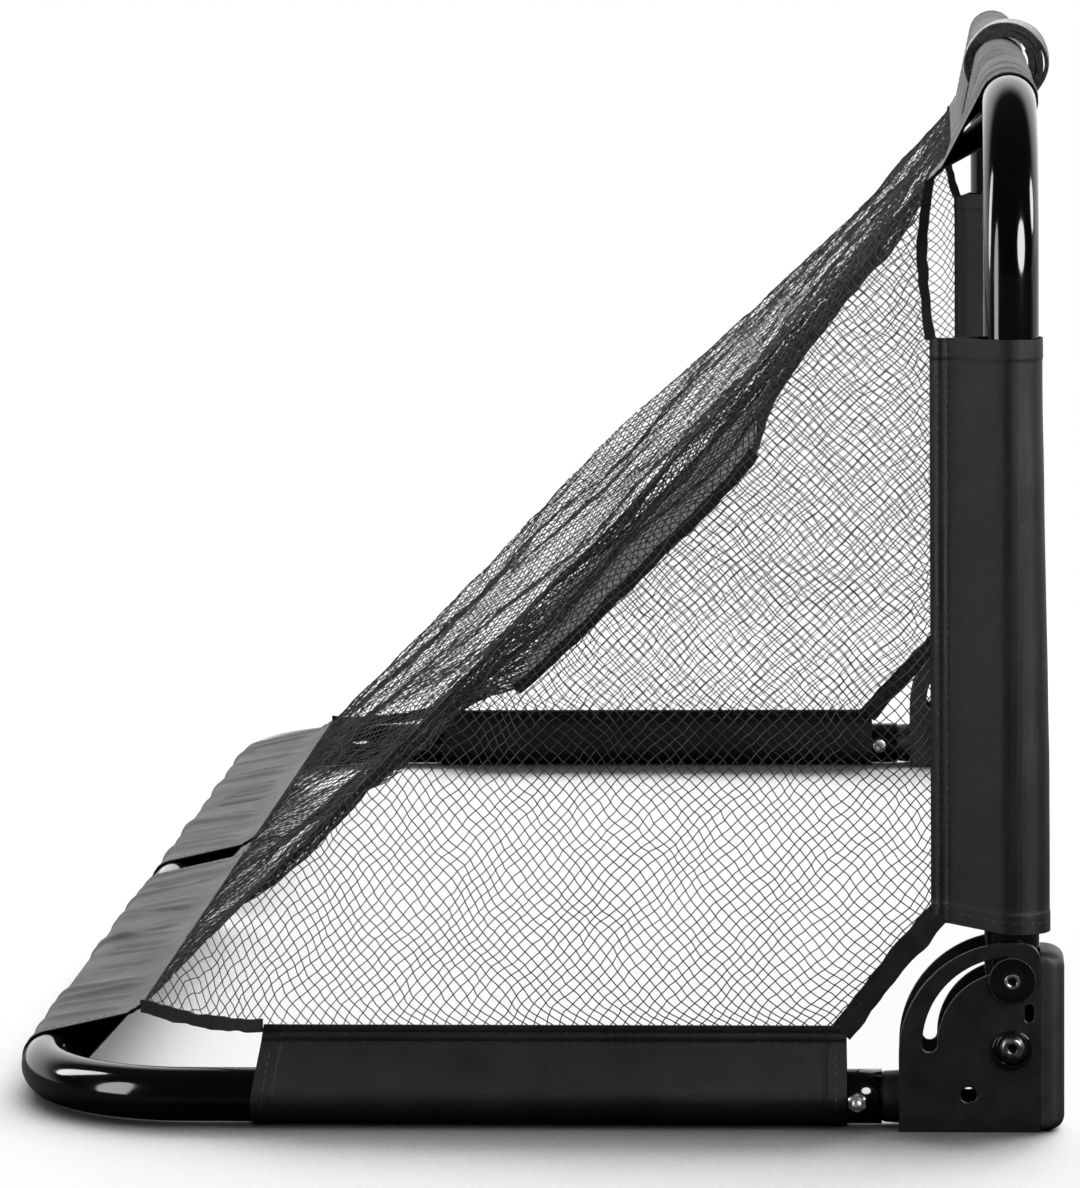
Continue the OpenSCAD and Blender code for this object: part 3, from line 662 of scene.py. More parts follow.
def dress_cad_nodes():
    """Gives the CAD nodes that stay a procedural material."""
    for name in SIDES:
        for cad, finish in (("guide_pin", "zinc_steel"), ("post_plug", "black_nylon"),
                            ("pivot_washers", "white_nylon")):
            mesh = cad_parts[f"{cad}_{name}"].data
            mesh.materials.clear()
            mesh.materials.append(FINISH[finish])


# ---------------------------------------------------------------- sleeves

TAIL = 12 * MM
TAIL_ROWS = [0, 0.8, 2.2, 3.7, 4.7, 5.7, 7.4, 9.0, 10.0, 11.0, 12.0]
STITCH_ROWS = [4, 8]
HEM = 12 * MM
HEM_ROWS = [0, 0.8, 2.5, 4.5, 6.5, 8.5, 10.2, 11.4, 12.0, 12.8, 14.5]
HEM_STITCH = HEM_ROWS.index(6.5)
STITCH = 3.8 * MM
STITCH_GAP = 1.6 * MM
THREAD_R = 0.28 * MM
# share of a stitch's length, thickness and height as shares of the thread's radius
STITCH_FORM = [(0.0, 0.35, -0.6), (0.12, 0.9, 0.0), (0.5, 1.0, 0.25), (0.88, 0.9, 0.0), (1.0, 0.35, -0.6)]
BACK_ANGLE = 30
FLAP_LEAN = {LEFT: (0, 0), RIGHT: (53, 43)}


def section(flap):
    """Teardrop outline round a tube: [flap, across] points and outward normals.

    It runs from the edge of one layer of the flap, round the tube, to the other layer's edge."""
    gap = 0.5 * MM
    split = flap - TAIL
    tangent = math.acos(sleeve_r / split)
    half = [(flap - row * MM, gap) for row in TAIL_ROWS]
    touch = np.array([sleeve_r * math.cos(tangent), sleeve_r * math.sin(tangent)])
    leave = np.array([split, gap])
    count = max(6, int(np.linalg.norm(touch - leave) / (3.2 * MM)))
    half += [tuple(leave + (touch - leave) * i / count) for i in range(1, count)]
    half += [(sleeve_r * math.cos(a), sleeve_r * math.sin(a)) for a in np.linspace(tangent, math.pi, 18)]
    points = np.array(half + [(x, -y) for x, y in reversed(half[:-1])])
    along = unit(np.gradient(points, axis=0))
    return points, np.stack([along[:, 1], -along[:, 0]], 1)


def add_stitches(shape, line, normals, lift):
    """Row of small thread lengths along a line on the cloth."""
    reach = reach_along(line)
    point = lambda values, s: np.array([np.interp(s, reach, values[:, i]) for i in range(3)])
    for begin in np.arange(STITCH_GAP, reach[-1] - STITCH, STITCH + STITCH_GAP):
        rings = []
        for share, width, rise in STITCH_FORM:
            s = begin + share * STITCH
            normal = point(normals, s)
            tangent = unit(point(line, s + 1 * MM) - point(line, s - 1 * MM), 1e-9)
            middle = point(line, s) + normal * (lift + rise * THREAD_R)
            rings.append(circle(middle, THREAD_R * width, normal, np.cross(tangent, normal), 6))
        shape.loft(rings)


def sleeve(kind, name, origin, axis, flap_turn, length, flap, wrinkle, slant=(0, 0), loosen=None):
    """Sewn fabric tube round a frame tube, with its flap, hems and stitch rows.

    flap_turn gives the flap's direction and the one across it at a distance along the axis."""
    outline, outward = section(flap)
    reach = reach_along(outline)
    rows = np.array(sorted(set(HEM_ROWS + [length / MM - row for row in HEM_ROWS]
                               + list(np.arange(18, length / MM - 17, 4.2))))) * MM
    share = np.clip(outline[:, 0] / flap, 0, 1)
    places = np.zeros((len(rows), len(outline), 3))
    for i, s in enumerate(rows):
        first = smooth_step((0.5 - s / length) * 2)
        last = smooth_step((s / length - 0.5) * 2)
        along = s + share * (slant[0] * first + slant[1] * last)
        forward, across = flap_turn(s)
        rise = wrinkle(s, reach, outline)
        if loosen is not None:
            rise = rise + loosen(s, outward)
        rise = rise + 0.35 * MM * smooth_step((HEM - min(s, length - s)) / (0.9 * MM) + 0.5)
        for seam in STITCH_ROWS:
            for edge in (reach, reach[-1] - reach):
                rise = rise - 0.5 * MM * np.exp(-((edge - TAIL_ROWS[seam] * MM) / (0.9 * MM)) ** 2)
        local = outline + outward * rise[:, None]
        places[i] = (origin + np.outer(along, axis) + np.outer(local[:, 0], forward)
                     + np.outer(local[:, 1], across))
    places[..., 2] = np.maximum(places[..., 2], fabric_t / 2 + 0.1 * MM)
    normals = normals_of(places)
    if np.dot(normals[0, np.argmin(outline[:, 0])], -flap_turn(0)[0]) < 0:
        normals = -normals
    piece = cloth_piece(f"{kind}_cover_{name}", places, normals, fabric_t, "sleeve_fabric")
    uv = np.stack(np.meshgrid(rows, reach, indexing="ij"), -1).reshape(-1, 2)
    add_uv(piece, np.concatenate([uv, uv]))
    dress(piece, None, "sleeve_fabric", f"{kind}_sleeve_{name}")

    seams = Shape()
    for seam in STITCH_ROWS:
        for column in (seam, len(outline) - 1 - seam):
            add_stitches(seams, places[:, column], normals[:, column], fabric_t / 2 - 0.05 * MM)
    keep = slice(len(TAIL_ROWS), len(outline) - len(TAIL_ROWS))
    for row in (HEM_STITCH, len(rows) - 1 - HEM_STITCH):
        add_stitches(seams, places[row, keep], normals[row, keep], fabric_t / 2 - 0.1 * MM)
    stitching = seams.build(f"{kind}_cover_{name}_stitches", "thread", sharp=80)
    return piece, stitching


def folds(seed, length, spacing, height, width, skew, spread=0.25):
    """Soft creases across a sleeve, from the tube to its seam, on the flap's free stretch."""
    draw = np.random.default_rng(seed)
    places = np.arange(0.4 * spacing, length, spacing)
    places = places + draw.uniform(-0.4, 0.4, len(places)) * spacing
    heights = height * draw.uniform(0.35, 1.0, len(places)) * np.sign(draw.uniform(-0.4, 1, len(places)))
    widths = width * draw.uniform(0.6, 1.5, len(places))
    skews = skew + draw.uniform(-spread, spread, len(places))

    def value(s, reach, outline):
        from_seam = np.minimum(reach, reach[-1] - reach)
        free = smooth_step((from_seam - TAIL) / (14 * MM))
        behind = smooth_step((reach[-1] / 2 - from_seam) / (20 * MM) + 0.25)
        rise = np.zeros(len(reach))
        for place, tall, wide, lean in zip(places, heights, widths, skews):
            rise += tall * np.exp(-((s - place - lean * from_seam) / wide) ** 2)
        lift = rise * free * (0.25 + 0.75 * behind)
        return np.where(outline[:, 0] < sleeve_r * 0.7, np.maximum(lift, 0), lift)
    return value


def turned_flap(angle_at, sign):
    """Directions of a flap on a tube along X: sign 1 hangs to the back, -1 rises to the front."""
    def value(s):
        a = math.radians(angle_at(s))
        forward = np.array([0, sign * math.cos(a), -sign * math.sin(a)])
        return forward, np.cross(X_AXIS, forward)
    return value


def crossbar_angle(x):
    """Slope of the crossbar flap below the horizontal, steeper where the net pulls it in."""
    return 45 + 16 * float(smooth_step((x + sleeve_out) / 0.5))


def leaning(straight, side, angle):
    """Directions of a post or side bar flap that leans inwards by an angle in degrees."""
    a = math.radians(angle)
    out = side * X_AXIS
    forward = math.cos(a) * straight - math.sin(a) * out
    across = math.cos(a) * out + math.sin(a) * straight
    return lambda s: (forward, across)


def make_sleeves():
    pieces = {}
    for name, side in SIDES.items():
        post_turn, side_turn = FLAP_LEAN[side]
        length = post_sleeve_top - post_sleeve_low + 2 * MM
        bulge = lambda s, outward, n=length: (
            np.clip(-outward[:, 0], 0, 1) ** 1.5 * (0.6 * MM + 4.6 * MM * smooth_step(1.1 - s / n)))
        pieces[f"post_{name}"] = sleeve(
            "post", name, at(side, 0, 0, post_sleeve_low - 2 * MM), Z_AXIS,
            leaning(Y_AXIS, side, post_turn), length, post_flap,
            folds(11 + side, length, 90 * MM, 0.7 * MM, 16 * MM, 0.6), slant=(5 * MM, 0), loosen=bulge)
        length = side_sleeve_back - side_sleeve_front
        pieces[f"side_{name}"] = sleeve(
            "side", name, at(side, 0, side_sleeve_front, base_z), Y_AXIS,
            leaning(Z_AXIS, side, side_turn), length, side_flap,
            folds(21 + side, length, 110 * MM, 0.6 * MM, 20 * MM, -0.8), slant=(0, -7 * MM))
        length = sleeve_out - middle_gap
        start = middle_gap if side == RIGHT else -sleeve_out
        pieces[f"crossbar_{name}"] = sleeve(
            "crossbar", name, np.array([start, post_y, crossbar_z]), X_AXIS,
            turned_flap(lambda s, start=start: crossbar_angle(start + s), 1), length, wide_flap,
            folds(31 + side, length, 48 * MM, 1.5 * MM, 7 * MM, 0.2, 0.4))
        pieces[f"back_{name}"] = sleeve(
            "back", name, np.array([start, post_y + depth, base_z]), X_AXIS,
            turned_flap(lambda s: BACK_ANGLE, -1), length, wide_flap,
            folds(41 + side, length, 36 * MM, 2.2 * MM, 6.5 * MM, 0.3, 0.5))
    return pieces


# ---------------------------------------------------------------- nets

CELL = 5.3 * MM
NET_OUT = 572 * MM
# right edge of the back net: shares up its slope, and how deep it hangs there in mm
EDGE_ROWS = [0.0, 0.12, 0.25, 0.35, 0.47, 0.63, 0.77, 0.86, 1.0]
EDGE_DEPTHS = [0, 0, -1, -3, -6, 2, 5, 7, 0]
# middle of the back net: shares down its slope, and how deep it hangs there in mm
SAG_ROWS = [0.0, 0.08, 0.18, 0.34, 0.5, 0.68, 0.8, 0.9, 1.0]
SAG_DEPTHS = [0, 11, 23, 37, 38, 33, 25, 16, 0]
PATCH_HALF = 210 * MM
PATCH_TOP = 0.325
PATCH_LOW = 0.65
PATCH_DROP = 11 * MM
# cut of a side net, [back, up], from the post's foot round to the post sleeve's top
SIDE_CUT = np.array([(46.3 * MM, 122.3 * MM), (96.5 * MM, 59.3 * MM), (447 * MM, 59.3 * MM),
                     (525.8 * MM, 50 * MM), (46.7 * MM, 547.3 * MM), (46.3 * MM, post_sleeve_top)])
HINGE_EDGE, CORNER_EDGE, SLANT_EDGE, POST_EDGE = 0, 2, 3, 4
# how far the middle of a side net's free edge hangs off its straight line
FREE_SAG = {HINGE_EDGE: np.array([0, 1, 0.5]) * MM, CORNER_EDGE: np.array([0, -2, -3]) * MM,
            POST_EDGE: np.array([0, 5, 0]) * MM}


def top_seam(x):
    """Point of the crossbar seam at x."""
    a = math.radians(crossbar_angle(x))
    return np.array([x, post_y + wide_flap * math.cos(a), crossbar_z - wide_flap * math.sin(a)])


def back_seam(x):
    """Point of the back bar seam at x."""
    a = math.radians(BACK_ANGLE)
    return np.array([x, post_y + depth - wide_flap * math.cos(a), base_z + wide_flap * math.sin(a)])


slope_up = top_seam(-NET_OUT) - back_seam(-NET_OUT)
SLOPE = float(np.linalg.norm(slope_up))
slope_up = slope_up / SLOPE
inward = np.array([0, -slope_up[2], slope_up[1]])
inward = inward * -np.sign(inward[2])


def slanted_edge(side, s):
    """Point of a side edge of the back net, s up from the back seam as a share."""
    low = back_seam(side * NET_OUT)
    high = top_seam(side * NET_OUT)
    sag = 5 * MM * math.sin(math.pi * s)
    if side == RIGHT:
        sag = smooth_curve(s, EDGE_ROWS, EDGE_DEPTHS) * MM
    bow = -side * 6 * MM * X_AXIS * math.sin(math.pi * s)
    return low + (high - low) * s + inward * sag + bow


def edges_of(outline):
    return list(zip(outline, np.roll(outline, -1, 0)))


def edge_distance(points, a, b):
    along = b - a
    t = np.clip((points - a) @ along / (along @ along), 0, 1)
    return np.linalg.norm(points - a - t[:, None] * along, axis=1)


def border_distance(points, outline):
    return np.min([edge_distance(points, a, b) for a, b in edges_of(outline)], 0)


def points_inside(points, outline):
    count = np.zeros(len(points), int)
    for (x0, y0), (x1, y1) in edges_of(outline):
        crosses = (y0 > points[:, 1]) != (y1 > points[:, 1])
        with np.errstate(divide="ignore", invalid="ignore"):
            at_x = x0 + (points[:, 1] - y0) * (x1 - x0) / (y1 - y0)
        count += crosses & (points[:, 0] < at_x)
    return count % 2 == 1


def triangulate(outline, step):
    """Triangles about `step` wide inside an outline, with evenly spaced edge points."""
    border = []
    for a, b in edges_of(outline):
        count = max(1, int(round(np.linalg.norm(b - a) / step)))
        border += [a + (b - a) * i / count for i in range(count)]
    low, high = outline.min(0), outline.max(0)
    inside = []
    for j, y in enumerate(np.arange(low[1], high[1], step * math.sqrt(3) / 2)):
        inside += [(x, y) for x in np.arange(low[0] + (j % 2) * step / 2, high[0], step)]
    inside = np.array(inside)
    inside = inside[points_inside(inside, outline) & (border_distance(inside, outline) > 0.55 * step)]
    points = [Vector(p) for p in np.concatenate([border, inside])]
    edges = [(i, (i + 1) % len(border)) for i in range(len(border))]
    found = delaunay_2d_cdt(points, edges, [], 1, 1e-7)
    return np.array([tuple(v) for v in found[0]]), np.array(found[2])


class Panel:
    """Flat cut of a net and where its points hang."""

    def __init__(self, outline, step):
        self.outline = np.asarray(outline, float)
        self.flat, self.triangles = triangulate(self.outline, step)
        self.places = np.zeros((len(self.flat), 3))
        self.fixed = np.zeros(len(self.flat), bool)

    def relax(self, rounds):
        """Pulls the free points to the middle of their neighbours, as a stretched membrane."""
        places = self.places
        pairs = np.concatenate([self.triangles[:, [a, b]] for a, b in ((0, 1), (1, 2), (2, 0))])
        pairs = np.unique(np.sort(pairs, 1), axis=0)
        count = np.bincount(pairs.ravel(), minlength=len(places)).astype(float)
        free = ~self.fixed
        for _ in range(rounds):
            total = np.zeros_like(places)
            np.add.at(total, pairs[:, 0], places[pairs[:, 1]])
            np.add.at(total, pairs[:, 1], places[pairs[:, 0]])
            places[free] = (total / count[:, None])[free]

    def finish(self):
        corner = self.places[self.triangles]
        normal = np.cross(corner[:, 1] - corner[:, 0], corner[:, 2] - corner[:, 0])
        total = np.zeros_like(self.places)
        for i in range(3):
            np.add.at(total, self.triangles[:, i], normal)
        self.normals = unit(total)
        self.tree = BVHTree.FromPolygons([Vector((*p, 0)) for p in self.flat], self.triangles.tolist())

    def lay(self, flat_points):
        """Hanging places and normals of flat points."""
        index = np.empty(len(flat_points), int)
        spots = np.empty((len(flat_points), 2))
        for i, p in enumerate(flat_points):
            spot, _, face, _ = self.tree.find_nearest(Vector((p[0], p[1], 0)))
            index[i] = face
            spots[i] = spot[:2]
        corner = self.triangles[index]
        a, b, c = (self.flat[corner[:, i]] for i in range(3))
        area = np.cross(b - a, c - a)
        v = np.cross(spots - a, c - a) / area
        w = np.cross(b - a, spots - a) / area
        weights = np.stack([1 - v - w, v, w], 1)[:, :, None]
        return (self.places[corner] * weights).sum(1), unit((self.normals[corner] * weights).sum(1))


def strand_lines(outline, pitch):
    """Straight stretches of both strand families inside the outline."""
    lines = []
    for direction in (np.array([1, 1]) / math.sqrt(2), np.array([1, -1]) / math.sqrt(2)):
        normal = np.array([-direction[1], direction[0]])
        reach = outline @ normal
        for offset in np.arange(reach.min() + 0.5 * pitch, reach.max(), pitch):
            cuts = []
            for a, b in edges_of(outline):
                da, db = a @ normal - offset, b @ normal - offset
                if da * db < 0:
                    cuts.append(float((a + (b - a) * da / (da - db)) @ direction))
            cuts.sort()
            lines += [(normal * offset + direction * first, normal * offset + direction * last)
                      for first, last in zip(cuts[::2], cuts[1::2]) if last - first > pitch]
    return lines


def make_net(label, panel, seed, segment, cad, pull, cord_r):
    """Net of thin cords on the panel's flat cut, laid on its hanging shape.

    pull says how far its cells are drawn out of line over long stretches."""
    slack = waves(seed + 13, 14, 14 * MM, 45 * MM, 0.5 * pull)
    shifts = [[waves(seed + i, 14, 18 * MM, 70 * MM, 0.7 * MM),
               waves(seed + 5 + i, 14, 5 * MM, 12 * MM, 0.22 * MM),
               waves(seed + 9 + i, 10, 90 * MM, 240 * MM, pull)] for i in range(2)]
    spots, counts = [], []
    for first, last in strand_lines(panel.outline, CELL):
        count = max(2, int(np.linalg.norm(last - first) / segment) + 1)
        share = np.linspace(0, 1, count)[:, None]
        line = first + (last - first) * share
        shift = np.stack([sum(field(line) for field in fields) for fields in shifts], 1)
        shift *= np.minimum(1, np.minimum(share, 1 - share) * count / 2)
        spots.append(line + shift)
        counts.append(count)
    spots = np.concatenate(spots)
    places, normals = panel.lay(spots)
    places = places + normals * slack(spots)[:, None]
    turn = np.radians([90, 210, 330])
    points, faces = [], []
    offset = 0
    for count in counts:
        line = places[offset:offset + count]
        along = unit(np.gradient(line, axis=0))
        side = unit(np.cross(along, normals[offset:offset + count]))
        up = np.cross(side, along)
        ring = line[:, None] + cord_r * (np.cos(turn)[None, :, None] * side[:, None]
                                         + np.sin(turn)[None, :, None] * up[:, None])
        points.append(ring.reshape(-1, 3))
        faces += grid_faces(count, 3, closed=True, start=3 * offset)
        offset += count
    piece = new_piece(label, np.concatenate(points).tolist(), faces, FINISH["net_cord"])
    piece.data.shade_smooth()
    return dress(piece, None, "net_cord", cad)


def fold_field(flat, seed):
    """Slack folds of the back net: long ones up the slope, short ones from the seams, soft bumps."""
    draw = np.random.default_rng(seed)
    x, s = flat[:, 0], flat[:, 1]
    lift = np.zeros(len(x))
    for _ in range(46):
        middle = draw.uniform(-0.56, 0.56)
        centre_s = draw.uniform(0.05, 0.95) * SLOPE
        reach = draw.uniform(0.10, 0.34) * SLOPE
        lean = draw.uniform(-0.55, 0.55)
        tall = draw.uniform(1.5, 5) * MM * draw.choice([-1, 1])
        wide = draw.uniform(10, 26) * MM
        bend = draw.uniform(-0.6, 0.6)
        along = (s - centre_s) / reach
        offset = (x - middle - lean * (s - centre_s) - bend * reach * along ** 2 * 0.3) / wide
        lift += tall * np.exp(-offset ** 2 - along ** 2)
    for seam in (0.0, SLOPE):
        for place in np.arange(-0.56, 0.57, 0.028):
            middle = place + draw.uniform(-0.008, 0.008)
            tall = draw.uniform(1.0, 4.0) * MM
            wide = draw.uniform(5, 9) * MM
            lift += tall * np.exp(-((x - middle) / wide) ** 2 - ((s - seam) / draw.uniform(0.05, 0.11)) ** 2)
    return lift + waves(seed + 1, 16, 90 * MM, 260 * MM, 2.6 * MM)(flat)


def back_panel():
    """Back net: sewn to both seams, with its side edges on the slanted lines."""
    panel = Panel([(-NET_OUT, 0), (NET_OUT, 0), (NET_OUT, SLOPE), (-NET_OUT, SLOPE)], 14 * MM)
    x, s = panel.flat[:, 0], panel.flat[:, 1] / SLOPE
    edge = np.abs(np.abs(x) - NET_OUT) < 1e-6
    for i in range(len(x)):
        low, high = back_seam(x[i]), top_seam(x[i])
        panel.places[i] = slanted_edge(int(np.sign(x[i])), s[i]) if edge[i] else low + (high - low) * s[i]
    panel.fixed = edge | (s < 1e-6) | (s > 1 - 1e-6)
    panel.relax(400)
    down = 1 - s
    share = np.abs(x) / NET_OUT
    held = smooth_curve(share, [0, PATCH_HALF / NET_OUT, 1.0], [1.0, 0.95, 0])
    free = np.clip(1 - share ** 1.5, 0, 1)
    by_patch = smooth_step((down - 0.15) / 0.2) * smooth_step((0.88 - down) / 0.2)
    fade = smooth_step(np.minimum(s, 1 - s) * 9) * smooth_step((1 - share) * 9)
    sag = smooth_curve(down, SAG_ROWS, SAG_DEPTHS) * MM
    panel.places += inward * (sag * (free + (held - free) * by_patch) * np.minimum(1, fade * 3))[:, None]
    off_patch = 1 - 0.8 * smooth_step((PATCH_HALF + 40 * MM - np.abs(x)) / (50 * MM)) * by_patch
    panel.places -= inward * (fold_field(panel.flat, 5) * fade * off_patch)[:, None]
    on_patch = np.minimum(np.minimum(down - PATCH_TOP, PATCH_LOW - down) * SLOPE, PATCH_HALF - np.abs(x))
    tilt = 1 - 0.45 * x / PATCH_HALF
    panel.places += inward * (PATCH_DROP * tilt * smooth_step(on_patch / (36 * MM) + 0.75))[:, None]
    panel.finish()
    return panel


def side_panel(side):
    """Side net: sewn to the post and side bar sleeves, meeting the back net on the slant."""
    panel = Panel(SIDE_CUT, 13 * MM)
    post_lean, bar_lean = (math.radians(a) for a in FLAP_LEAN[side])
    post_reach = 46 * MM
    post_foot, post_top = (at(side, -post_reach * math.sin(post_lean), post_reach * math.cos(post_lean),
                              SIDE_CUT[i][1]) for i in (0, 5))
    bar_start, bar_end = (at(side, -side_flap * math.sin(bar_lean), SIDE_CUT[i][0],
                             base_z + side_flap * math.cos(bar_lean)) for i in (1, 2))
    corner = [post_foot, bar_start, bar_end, slanted_edge(side, 0), slanted_edge(side, 1), post_top]
    for i, (a, b) in enumerate(edges_of(SIDE_CUT)):
        along = b - a
        t = (panel.flat - a) @ along / (along @ along)
        on_edge = (edge_distance(panel.flat, a, b) < 1e-6) & ~panel.fixed
        first, last = corner[i], corner[(i + 1) % len(corner)]
        for k in np.nonzero(on_edge)[0]:
            panel.places[k] = slanted_edge(side, t[k]) if i == SLANT_EDGE else first + (last - first) * t[k]
            if i in FREE_SAG:
                panel.places[k] += FREE_SAG[i] * math.sin(math.pi * t[k])
        panel.fixed |= on_edge
    free = ~panel.fixed
    panel.places[free] = [at(side, 0, y, z) for y, z in panel.flat[free]]
    panel.relax(900)
    ripple = waves(60 + side, 12, 60 * MM, 160 * MM, 5 * MM)
    border = border_distance(panel.flat, SIDE_CUT)
    panel.places[:, 0] += ripple(panel.flat) * smooth_step(border / (60 * MM))
    panel.finish()
    return panel


def blend_with_net(piece):
    """Bakes a piece's transform into its mesh; the piece lies between the base and the upright frame, from
    the back seam to the crossbar.
    """
    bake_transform(piece)


def make_nets():
    panel = back_panel()
    back = make_net("back_mesh", panel, 70, 10 * MM, "back_net", 1 * MM, 0.37 * MM)
    blend_with_net(back)
    sides = {}
    for name, side in SIDES.items():
        cut = side_panel(side)
        sides[name] = (make_net(f"side_mesh_{name}", cut, 80 + side, 5 * MM, f"side_net_{name}", 1 * MM,
                                0.4 * MM), cut)
    return panel, sides


# ---------------------------------------------------------------- tapes, patch and strap

def ribbon(label, line, across, normal, thickness, width, seed):
    """Wavy tape along a line; across is its width direction."""
    wobble = waves(seed, 10, 12 * MM, 45 * MM, 0.7 * MM)
    reach = reach_along(line)
    rows = 6
    grid = np.zeros((len(line), rows, 3))
    for j in range(rows):
        at_width = width * (j / (rows - 1))
        spots = np.stack([reach, np.full(len(reach), at_width)], 1)
        ragged = 0.6 if j in (0, rows - 1) else 0.2
        grid[:, j] = (line + across * (at_width + wobble(spots) * ragged)[:, None]
                      + normal * wobble(spots + 0.3)[:, None])
    return cloth_piece(label, grid, normals_of(grid), thickness, "binding_tape")


def edge_line(panel, edge, extend):
    """Hanging places along one edge of a panel, run on past its ends by two lengths."""
    a, b = edges_of(panel.outline)[edge]
    flat = a + (b - a) * np.linspace(0, 1, int(np.linalg.norm(b - a) / (4 * MM)))[:, None]
    line = panel.lay(flat)[0]
    return np.concatenate([[line[0] + extend[0] * unit(line[0] - line[2])], line,
                           [line[-1] + extend[1] * unit(line[-1] - line[-3])]])


def make_tapes(sides):
    """Binding tapes on the free edges of the side nets."""
    tapes = {}
    to_bracket = np.array([0, -0.745, -0.667])
    for name, side in SIDES.items():
        for kind, edge, width, away, run_on in (
                ("hinge", HINGE_EDGE, 13.5 * MM, to_bracket, (5 * MM, 5 * MM)),
                ("post", POST_EDGE, 6 * MM, Y_AXIS, (0.5 * MM, 0.5 * MM)),
                ("corner", CORNER_EDGE, 8 * MM, -Z_AXIS, (12 * MM, 0.5 * MM))):
            line = edge_line(sides[name][1], edge, run_on)
            out = side * X_AXIS
            piece = ribbon(f"{kind}_binding_{name}", line - away * width * 0.5 + out * 0.6 * MM, away, out,
                           1.6 * MM, width, 90 + 3 * side + edge)
            tapes[f"{kind}_{name}"] = dress(piece, None, "binding_tape", f"{kind}_tape_{name}")
    return tapes


def make_patch(panel):
    """Plain fabric patch sewn on the outer face of the back net."""
    columns = np.linspace(-PATCH_HALF, PATCH_HALF, 61)
    rows = np.linspace((1 - PATCH_LOW) * SLOPE, (1 - PATCH_TOP) * SLOPE, 36)
    flat = np.array([(x, s) for s in rows for x in columns])
    places, normals = panel.lay(flat)
    if np.dot(normals.mean(0), inward) > 0:
        normals = -normals
    grid = (places + normals * 1.4 * MM).reshape(len(rows), len(columns), 3)
    piece = cloth_piece("back_patch", grid, normals_of(grid), 0.9 * MM, "patch_fabric")
    add_uv(piece, np.concatenate([flat, flat]))
    dress(piece, None, "patch_fabric", "net_patch")
    hems = []
    for name, side in SIDES.items():
        line = grid[:, 0 if side == LEFT else -1] - inward * 1.5 * MM
        hem = ribbon(f"patch_hem_{name}", line, inward, side * X_AXIS, 2.2 * MM, 8 * MM, 120 + side)
        hems.append(hem)
    return piece, hems


def make_strap():
    """Hook-and-loop strap wound round the middle of the crossbar, its soft pile inside."""
    low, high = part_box("closing_strap")
    middle = (low + high) / 2 + Vector((0, -2.2 * MM, -3.4 * MM))
    band = high.x - low.x
    inner_r = 19.9 * MM
    mean_r = 24 * MM
    turns = 4.3
    pile_turns = 0.77
    flare_turn = math.radians(125)
    pitch = ((high.y - low.y) / 2 - 1.0 * MM - inner_r) / (turns - 1)
    turn = np.linspace(0, turns * 2 * np.pi, 420) + math.radians(150)
    widths = np.linspace(-band / 2, band / 2, 15)
    wobble = waves(7, 12, 15 * MM, 60 * MM, 0.35 * MM)
    edge = waves(8, 16, 3 * MM, 12 * MM, 0.5 * MM)
    for label, shift, thick, finish, replaced in (
            ("strap_band", 0.55 * MM, 0.8 * MM, "strap_fabric", ["closing_strap"]),
            ("strap_lining", -0.75 * MM, 1.9 * MM, "strap_pile", [])):
        grid = np.zeros((len(turn), len(widths), 3))
        for i, a in enumerate(turn):
            level = inner_r + pitch * np.clip((a - turn[0]) / (2 * math.pi) - 0.5, 0, turns - 1)
            run = np.stack([np.full(len(widths), a * mean_r), widths], 1)
            wound = np.clip((a - turn[0]) / (2 * math.pi * turns), 0, 1)
            flare = 4 * MM * smooth_step(wound * 4 - 3) * max(0.0, math.cos(a - flare_turn))
            r = level + shift + wobble(run) + flare * (widths / band + 0.5)
            x = widths + edge(run) * (np.abs(widths) > 0.9 * band / 2)
            hub_y = middle.y + 2.6 * MM * (1 - wound)
            grid[i] = np.stack([middle.x + x, hub_y + r * math.cos(a), middle.z + r * math.sin(a)], 1)
        piece = cloth_piece(label, grid, normals_of(grid), thick, finish)
        piece.data.materials.append(FINISH["strap_pile"])
        for face in piece.data.polygons:
            row = min(face.vertices) % (len(turn) * len(widths)) // len(widths)
            face.material_index = int(row < int(pile_turns * len(turn)))
        dress(piece, "upright", "strap_fabric", *replaced)


# ---------------------------------------------------------------- stage, lights and camera

